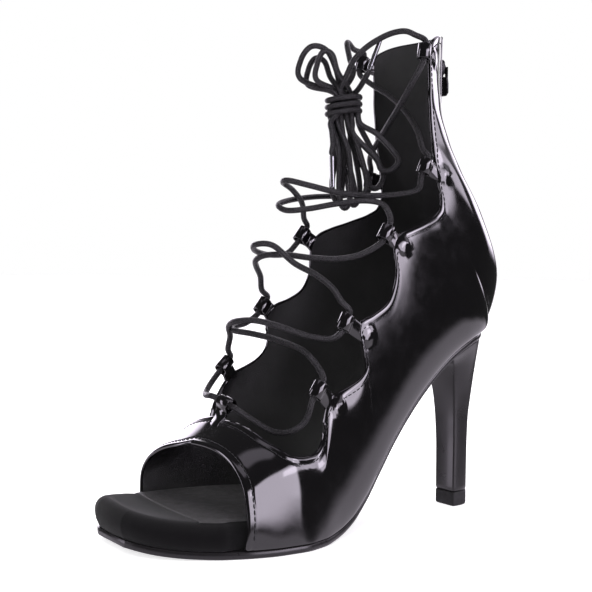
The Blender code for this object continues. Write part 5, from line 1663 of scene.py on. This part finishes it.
class BackZip:
    """The zip down the back: tape, coil, welted edges, slider and hanging pull tab."""

    FOOT = 118.0
    SLIDER = 231.0
    PULL_LENGTH = 14.0

    def __init__(self, finishes: Finishes) -> None:
        """Keep the finishes."""
        self.finishes = finishes
        self.maker = Maker()

    @staticmethod
    def _seam(z: float) -> tuple[Vector, Vector]:
        """Return the back seam's point at height z and the outward direction there."""
        low, high = HEEL_CORNER, FORM.last_place
        for _ in range(40):
            middle = (low + high) / 2
            if FORM.section_at(middle).low_z < z:
                low = middle
            else:
                high = middle
        row = FORM.section_at(low)
        before = FORM.section_at(low - 0.04)
        along = Vector((0, row.low_y - before.low_y, row.low_z - before.low_z)).normalized()
        return Vector((0, row.low_y, row.low_z)), Vector((0, along.z, -along.y))

    def build(self) -> None:
        """Make every piece of the zip."""
        self._tape()
        self._coil()
        self._welts()
        self._slider()
        self._pull()

    def _heights(self, step: float) -> list[float]:
        """Return heights up the zip about a step apart."""
        top = SECTIONS[-1].low_z - 1.2
        count = round((top - self.FOOT) / step)
        return [self.FOOT + (top - self.FOOT) * k / count for k in range(count + 1)]

    def _tape(self) -> None:
        """Make the woven tape under the coil."""
        points, faces, uvs = [], [], []
        columns = [(-2.7, 0.35), (-2.2, 0.65), (-1.2, 0.75), (0.0, 0.8), (1.2, 0.75), (2.2, 0.65),
                   (2.7, 0.35)]
        heights = self._heights(1.5)
        for z in heights:
            base, out = self._seam(z)
            for x, lift in columns:
                points.append(base + Vector((x, 0, 0)) + out * lift)
                uvs.append((x, z))
        row = len(columns)
        for r in range(len(heights) - 1):
            for k in range(row - 1):
                faces.append((r * row + k, r * row + k + 1, (r + 1) * row + k + 1, (r + 1) * row + k))
        self.maker.piece("zip_tape", points, faces, self.finishes.tape, Slot.ZIP, ["zip_chain"], uvs)

    def _coil(self) -> None:
        """Two rows of coil turns that mesh down the middle."""
        parts = []
        for n, z in enumerate(self._heights(0.75)):
            base, out = self._seam(z)
            along = Vector((0, -out.z, out.y))
            sign = 1 if n % 2 else -1
            route = []
            for k in range(7):
                angle = math.pi * (k / 6 - 0.5)
                route.append(base + Vector((sign * (1.25 - 1.5 * math.cos(angle)), 0, 0))
                             + out * (1.25 + 0.5 * math.sin(angle)) + along * (0.25 * math.sin(angle)))
            points, faces, _ = Maker.sweep(route, 0.3, 6)
            parts.append((points, faces))
        points, faces = Maker.merge(parts)
        self.maker.piece("zip_coil", points, faces, self.finishes.coil, Slot.ZIP)

    def _welts(self) -> None:
        """The turned patent edges on both sides of the zip."""
        for sign, word in ((1, "outer"), (-1, "inner")):
            route = []
            for z in self._heights(2.0):
                base, out = self._seam(z)
                route.append(base + Vector((sign * 3.3, 0, 0)) - out * 0.25)
            self.maker.tube("zip_welt_" + word, route, 0.85, self.finishes.patent, Slot.UPPER, 12)

    def _slider(self) -> None:
        """Make the slider's body and its bridge."""
        base, out = self._seam(self.SLIDER)
        along = Vector((0, -out.z, out.y))
        side = Vector((1, 0, 0))
        rings = []
        for level, size in ((1.0, 0.82), (1.25, 0.95), (1.7, 1.0), (2.9, 1.0), (3.35, 0.93), (3.55, 0.75)):
            ring = []
            for k in range(32):
                angle = 2 * math.pi * k / 32
                c, s = math.cos(angle), math.sin(angle)
                x = 3.2 * size * math.copysign(abs(c) ** 0.55, c) * (1 + 0.10 * s)
                y = 4.4 * size * math.copysign(abs(s) ** 0.7, s)
                ring.append(base + side * x + along * y + out * level)
            rings.append(ring)
        body = SoleUnit.closed(rings)
        arch = []
        for k in range(13):
            angle = math.pi * k / 12
            arch.append(base + along * (3.0 * math.cos(angle)) + out * (3.3 + 2.6 * math.sin(angle)))
        bridge, faces, _ = Maker.sweep(arch, 0.75, 10)
        points, faces = Maker.merge([body, (bridge, faces)])
        self.maker.piece("zip_slider_body", points, faces, self.finishes.metal, Slot.ZIP_METAL,
                         ["zip_slider"], weld=False)

    def _pull(self) -> None:
        """The hanging tab, a flat plate with a window for the slider's bridge."""
        low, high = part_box("zip_pull")
        middle = Vector(((low[0] + high[0]) / 2, (low[1] + high[1]) / 2, 0.0)) / MM
        top = high[2] / MM - 0.6
        bar, arm, foot = 0.6, 1.3, 2.3
        outer = [(-foot, bar), (-foot, -5.0), (-foot - 0.5, -8.0), (-foot - 0.5, -self.PULL_LENGTH + 1.4),
                 (-foot + 0.9, -self.PULL_LENGTH), (foot - 0.9, -self.PULL_LENGTH),
                 (foot + 0.5, -self.PULL_LENGTH + 1.4), (foot + 0.5, -8.0), (foot, -5.0), (foot, bar)]
        window = [(-arm, -bar), (arm, -bar), (arm, -4.4), (-arm, -4.4)]
        curve = bpy.data.curves.new("pull_outline", "CURVE")
        curve.dimensions = "2D"
        curve.fill_mode = "BOTH"
        curve.extrude = 0.35 * MM
        curve.bevel_depth = 0.22 * MM
        curve.bevel_resolution = 3
        for outline in (outer, window):
            spline = curve.splines.new("POLY")
            spline.points.add(len(outline) - 1)
            spline.use_cyclic_u = True
            for place, (x, y) in zip(spline.points, outline):
                place.co = (x * MM, y * MM, 0.0, 1.0)
        shape = bpy.data.objects.new("pull_outline", curve)
        bpy.context.scene.collection.objects.link(shape)
        graph = bpy.context.evaluated_depsgraph_get()
        mesh = bpy.data.meshes.new_from_object(shape.evaluated_get(graph))
        bpy.data.objects.remove(shape, do_unlink=True)
        place = Matrix.Translation(Vector((middle.x, middle.y, top)) * MM)
        turn = place @ Matrix.Rotation(math.pi / 2, 4, "X")
        points = [tuple((turn @ v.co) / MM) for v in mesh.vertices]
        faces = [tuple(p.vertices) for p in mesh.polygons]
        Maker(Body.PULL_TAB).piece("zip_pull_tab", points, faces, self.finishes.metal, Slot.ZIP_METAL,
                                   ["zip_pull"], weld=True)


# --------------------------------------------------------------------------- studio


@dataclass(frozen=True)
class SoftBox:
    """An area light: where it stands, what it looks at, its size in metres and its power."""

    name: str
    place: tuple[float, float, float]
    target: tuple[float, float, float]
    width: float
    height: float
    power: float
    colour: tuple[float, float, float] = (1.0, 1.0, 1.0)

    def build(self) -> None:
        """Put the light in the scene."""
        data = bpy.data.lights.new(self.name, "AREA")
        data.shape = "RECTANGLE"
        data.size, data.size_y = self.width, self.height
        data.energy = self.power
        data.color = self.colour
        light = bpy.data.objects.new(self.name, data)
        light.location = self.place
        light.visible_glossy = False
        way = Vector(self.target) - Vector(self.place)
        light.rotation_euler = way.to_track_quat("-Z", "Y").to_euler()
        bpy.context.scene.collection.objects.link(light)


@dataclass(frozen=True)
class Glow:
    """A soft patch of light in the room, seen in the gloss.

    Attributes:
        azimuth: Where it is, in degrees; 0 is -Y and 90 is +X.
        elevation: Degrees over the horizon.
        half_width: Degrees from its middle to each side.
        half_height: Degrees from its middle up and down.
        soft: Degrees over which its edges fade.
        radiance: How bright it is.
        colour: Its colour.
    """

    azimuth: float
    elevation: float
    half_width: float
    half_height: float
    soft: float
    radiance: float
    colour: tuple[float, float, float] = (1.0, 0.91, 1.07)


class Studio:
    """The camera, the lights, the pale floor and the room's light."""

    AZIMUTH = 55.8
    ELEVATION = 1.1
    ROLL = 0.6
    CAMERA = Vector((0.4142, -0.3843, 0.1210))
    LENS = 63.5
    BASE = 0.035
    BOXES = [
        SoftBox("front fill", (0.9, -1.3, 1.2), (0.0, -0.09, 0.1), 1.4, 1.4, 26.0),
        SoftBox("top fill", (-0.3, 0.1, 1.9), (0.0, -0.09, 0.1), 1.6, 1.6, 30.0),
    ]
    GLOWS = [
        Glow(109.5, 7.5, 21.0, 15.5, 6.0, 4.0),
        Glow(133.0, 15.5, 20.0, 4.0, 3.0, 3.2),
        Glow(184.0, 12.0, 12.0, 8.0, 8.0, 4.2),
        Glow(-36.0, 8.0, 7.0, 20.0, 4.0, 3.2),
        Glow(-100.0, 12.0, 13.0, 14.0, 6.0, 2.6),
        Glow(55.0, 78.0, 22.0, 12.0, 8.0, 0.6),
        Glow(152.0, 25.0, 16.0, 5.0, 6.0, 0.6),
        Glow(-150.0, 35.0, 25.0, 16.0, 10.0, 0.8),
    ]

    def build(self) -> None:
        """Set up the whole studio."""
        self._camera()
        self._floor()
        self._room()
        for box in self.BOXES:
            box.build()
        bpy.context.scene.view_settings.view_transform = "Standard"

    @staticmethod
    def _direction(azimuth: float, elevation: float) -> Vector:
        """Return the unit vector that points to an azimuth and elevation in degrees."""
        a, e = math.radians(azimuth), math.radians(elevation)
        return Vector((math.sin(a) * math.cos(e), -math.cos(a) * math.cos(e), math.sin(e)))

    def _camera(self) -> None:
        """Place the camera, which is rolled a little."""
        back = self._direction(self.AZIMUTH, self.ELEVATION)
        azimuth, roll = math.radians(self.AZIMUTH), math.radians(self.ROLL)
        right = Vector((math.cos(azimuth), math.sin(azimuth), 0.0))
        up = back.cross(right)
        turned = right * math.cos(roll) + up * math.sin(roll)
        up = up * math.cos(roll) - right * math.sin(roll)
        data = bpy.data.cameras.new("camera")
        data.lens, data.sensor_width = self.LENS, 36.0
        camera = bpy.data.objects.new("camera", data)
        camera.matrix_world = Matrix((
            (turned.x, up.x, back.x, self.CAMERA.x), (turned.y, up.y, back.y, self.CAMERA.y),
            (turned.z, up.z, back.z, self.CAMERA.z), (0, 0, 0, 1),
        ))
        bpy.context.scene.collection.objects.link(camera)
        bpy.context.scene.camera = camera

    def _floor(self) -> None:
        """Lay a wide, plain, pale floor that the gloss doesn't pick up."""
        bench = NodeBench("pale floor")
        bench.set(Base_Color=(0.8, 0.8, 0.8, 1.0), Roughness=0.9, Specular_IOR_Level=0.0,
                  Emission_Color=(1.0, 1.0, 1.0, 1.0), Emission_Strength=0.72)
        mesh = bpy.data.meshes.new("floor")
        reach = 60.0
        mesh.from_pydata([(-reach, -reach, 0), (reach, -reach, 0), (reach, reach, 0), (-reach, reach, 0)],
                         [], [(0, 1, 2, 3)])
        mesh.materials.append(bench.material)
        floor = bpy.data.objects.new("floor", mesh)
        floor.location.z = -0.0002
        floor.visible_glossy = False
        floor.visible_diffuse = False
        bpy.context.scene.collection.objects.link(floor)

    def _room(self) -> None:
        """Light the room: a dim base, a pale floor side, soft patches and a white backdrop."""
        world = bpy.data.worlds.new("room")
        bpy.context.scene.world = world
        world.use_nodes = True
        tree = world.node_tree
        background = tree.nodes["Background"]
        way = tree.nodes.new("ShaderNodeTexCoord").outputs["Generated"]

        def across(direction: Vector) -> bpy.types.NodeSocket:
            """Return the share of the view's direction along one direction."""
            node = tree.nodes.new("ShaderNodeVectorMath")
            node.operation = "DOT_PRODUCT"
            node.inputs[1].default_value = direction
            tree.links.new(way, node.inputs[0])
            return node.outputs["Value"]

        def fade(value: bpy.types.NodeSocket, low: float, high: float, most: float = 1.0
                 ) -> bpy.types.NodeSocket:
            """Return a value's soft step from low to high."""
            node = tree.nodes.new("ShaderNodeMapRange")
            node.interpolation_type = "SMOOTHSTEP"
            tree.links.new(value, node.inputs["Value"])
            for key, number in (("From Min", low), ("From Max", high), ("To Min", 0.0), ("To Max", most)):
                node.inputs[key].default_value = number
            return node.outputs["Result"]

        def work(operation: str, first: bpy.types.NodeSocket, second: bpy.types.NodeSocket | None = None
                 ) -> bpy.types.NodeSocket:
            """Return the result of a Math node."""
            node = tree.nodes.new("ShaderNodeMath")
            node.operation = operation
            tree.links.new(first, node.inputs[0])
            if second is not None:
                tree.links.new(second, node.inputs[1])
            return node.outputs[0]

        def tinted(value: bpy.types.NodeSocket, colour: tuple[float, float, float]
                   ) -> bpy.types.NodeSocket:
            """Return a value in a colour."""
            node = tree.nodes.new("ShaderNodeVectorMath")
            node.operation = "SCALE"
            node.inputs[0].default_value = colour
            tree.links.new(value, node.inputs["Scale"])
            return node.outputs["Vector"]

        backdrop = self._direction(self.AZIMUTH + 180.0, 6.0)
        lights = [
            tinted(fade(across(Vector((0, 0, -1))), 0.17, 0.24, 0.62), (1.0, 0.92, 1.05)),
            tinted(fade(across(backdrop), 0.84, 0.94, 1.25), (1.0, 0.96, 1.02)),
        ]
        for glow in self.GLOWS:
            middle = self._direction(glow.azimuth, glow.elevation)
            right = self._direction(glow.azimuth + 90.0, 0.0)
            up = right.cross(middle) * -1.0
            mask = fade(across(middle), 0.0, 0.3, glow.radiance)
            for axis, half in ((right, glow.half_width), (up, glow.half_height)):
                outer = math.sin(math.radians(min(half + glow.soft / 2, 89.0)))
                inner = math.sin(math.radians(max(half - glow.soft / 2, 0.0)))
                mask = work("MULTIPLY", mask, fade(work("ABSOLUTE", across(axis)), outer, inner))
            lights.append(tinted(mask, glow.colour))
        total = lights[0]
        for light in lights[1:]:
            node = tree.nodes.new("ShaderNodeVectorMath")
            tree.links.new(total, node.inputs[0])
            tree.links.new(light, node.inputs[1])
            total = node.outputs["Vector"]
        base = tree.nodes.new("ShaderNodeVectorMath")
        base.inputs[1].default_value = (self.BASE, self.BASE, self.BASE)
        tree.links.new(total, base.inputs[0])
        mix = tree.nodes.new("ShaderNodeMix")
        mix.data_type = "RGBA"
        tree.links.new(tree.nodes.new("ShaderNodeLightPath").outputs["Is Camera Ray"], mix.inputs["Factor"])
        for socket in mix.inputs:
            if socket.type == "RGBA" and socket.name == "B":
                socket.default_value = (1.0, 1.0, 1.0, 1.0)
            if socket.type == "RGBA" and socket.name == "A":
                tree.links.new(base.outputs["Vector"], socket)
        output = next(o for o in mix.outputs if o.type == "RGBA")
        tree.links.new(output, background.inputs["Color"])


# --------------------------------------------------------------------------- the boot


class DanceBoot:
    """The whole boot, built from its sub-assemblies in a maker's order."""

    def __init__(self) -> None:
        """Build the finishes."""
        self.finishes = Finishes()

    def build(self) -> None:
        """Build every sub-assembly."""
        loops = LaceLoops(self.finishes)
        Lacing(self.finishes, loops).build()
        loops.build()
        Upper(self.finishes).build()
        SoleUnit(self.finishes).build()
        BackZip(self.finishes).build()


def main() -> None:
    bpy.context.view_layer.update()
    Studio().build()
    DanceBoot().build()


if __name__ == "__main__":
    main()
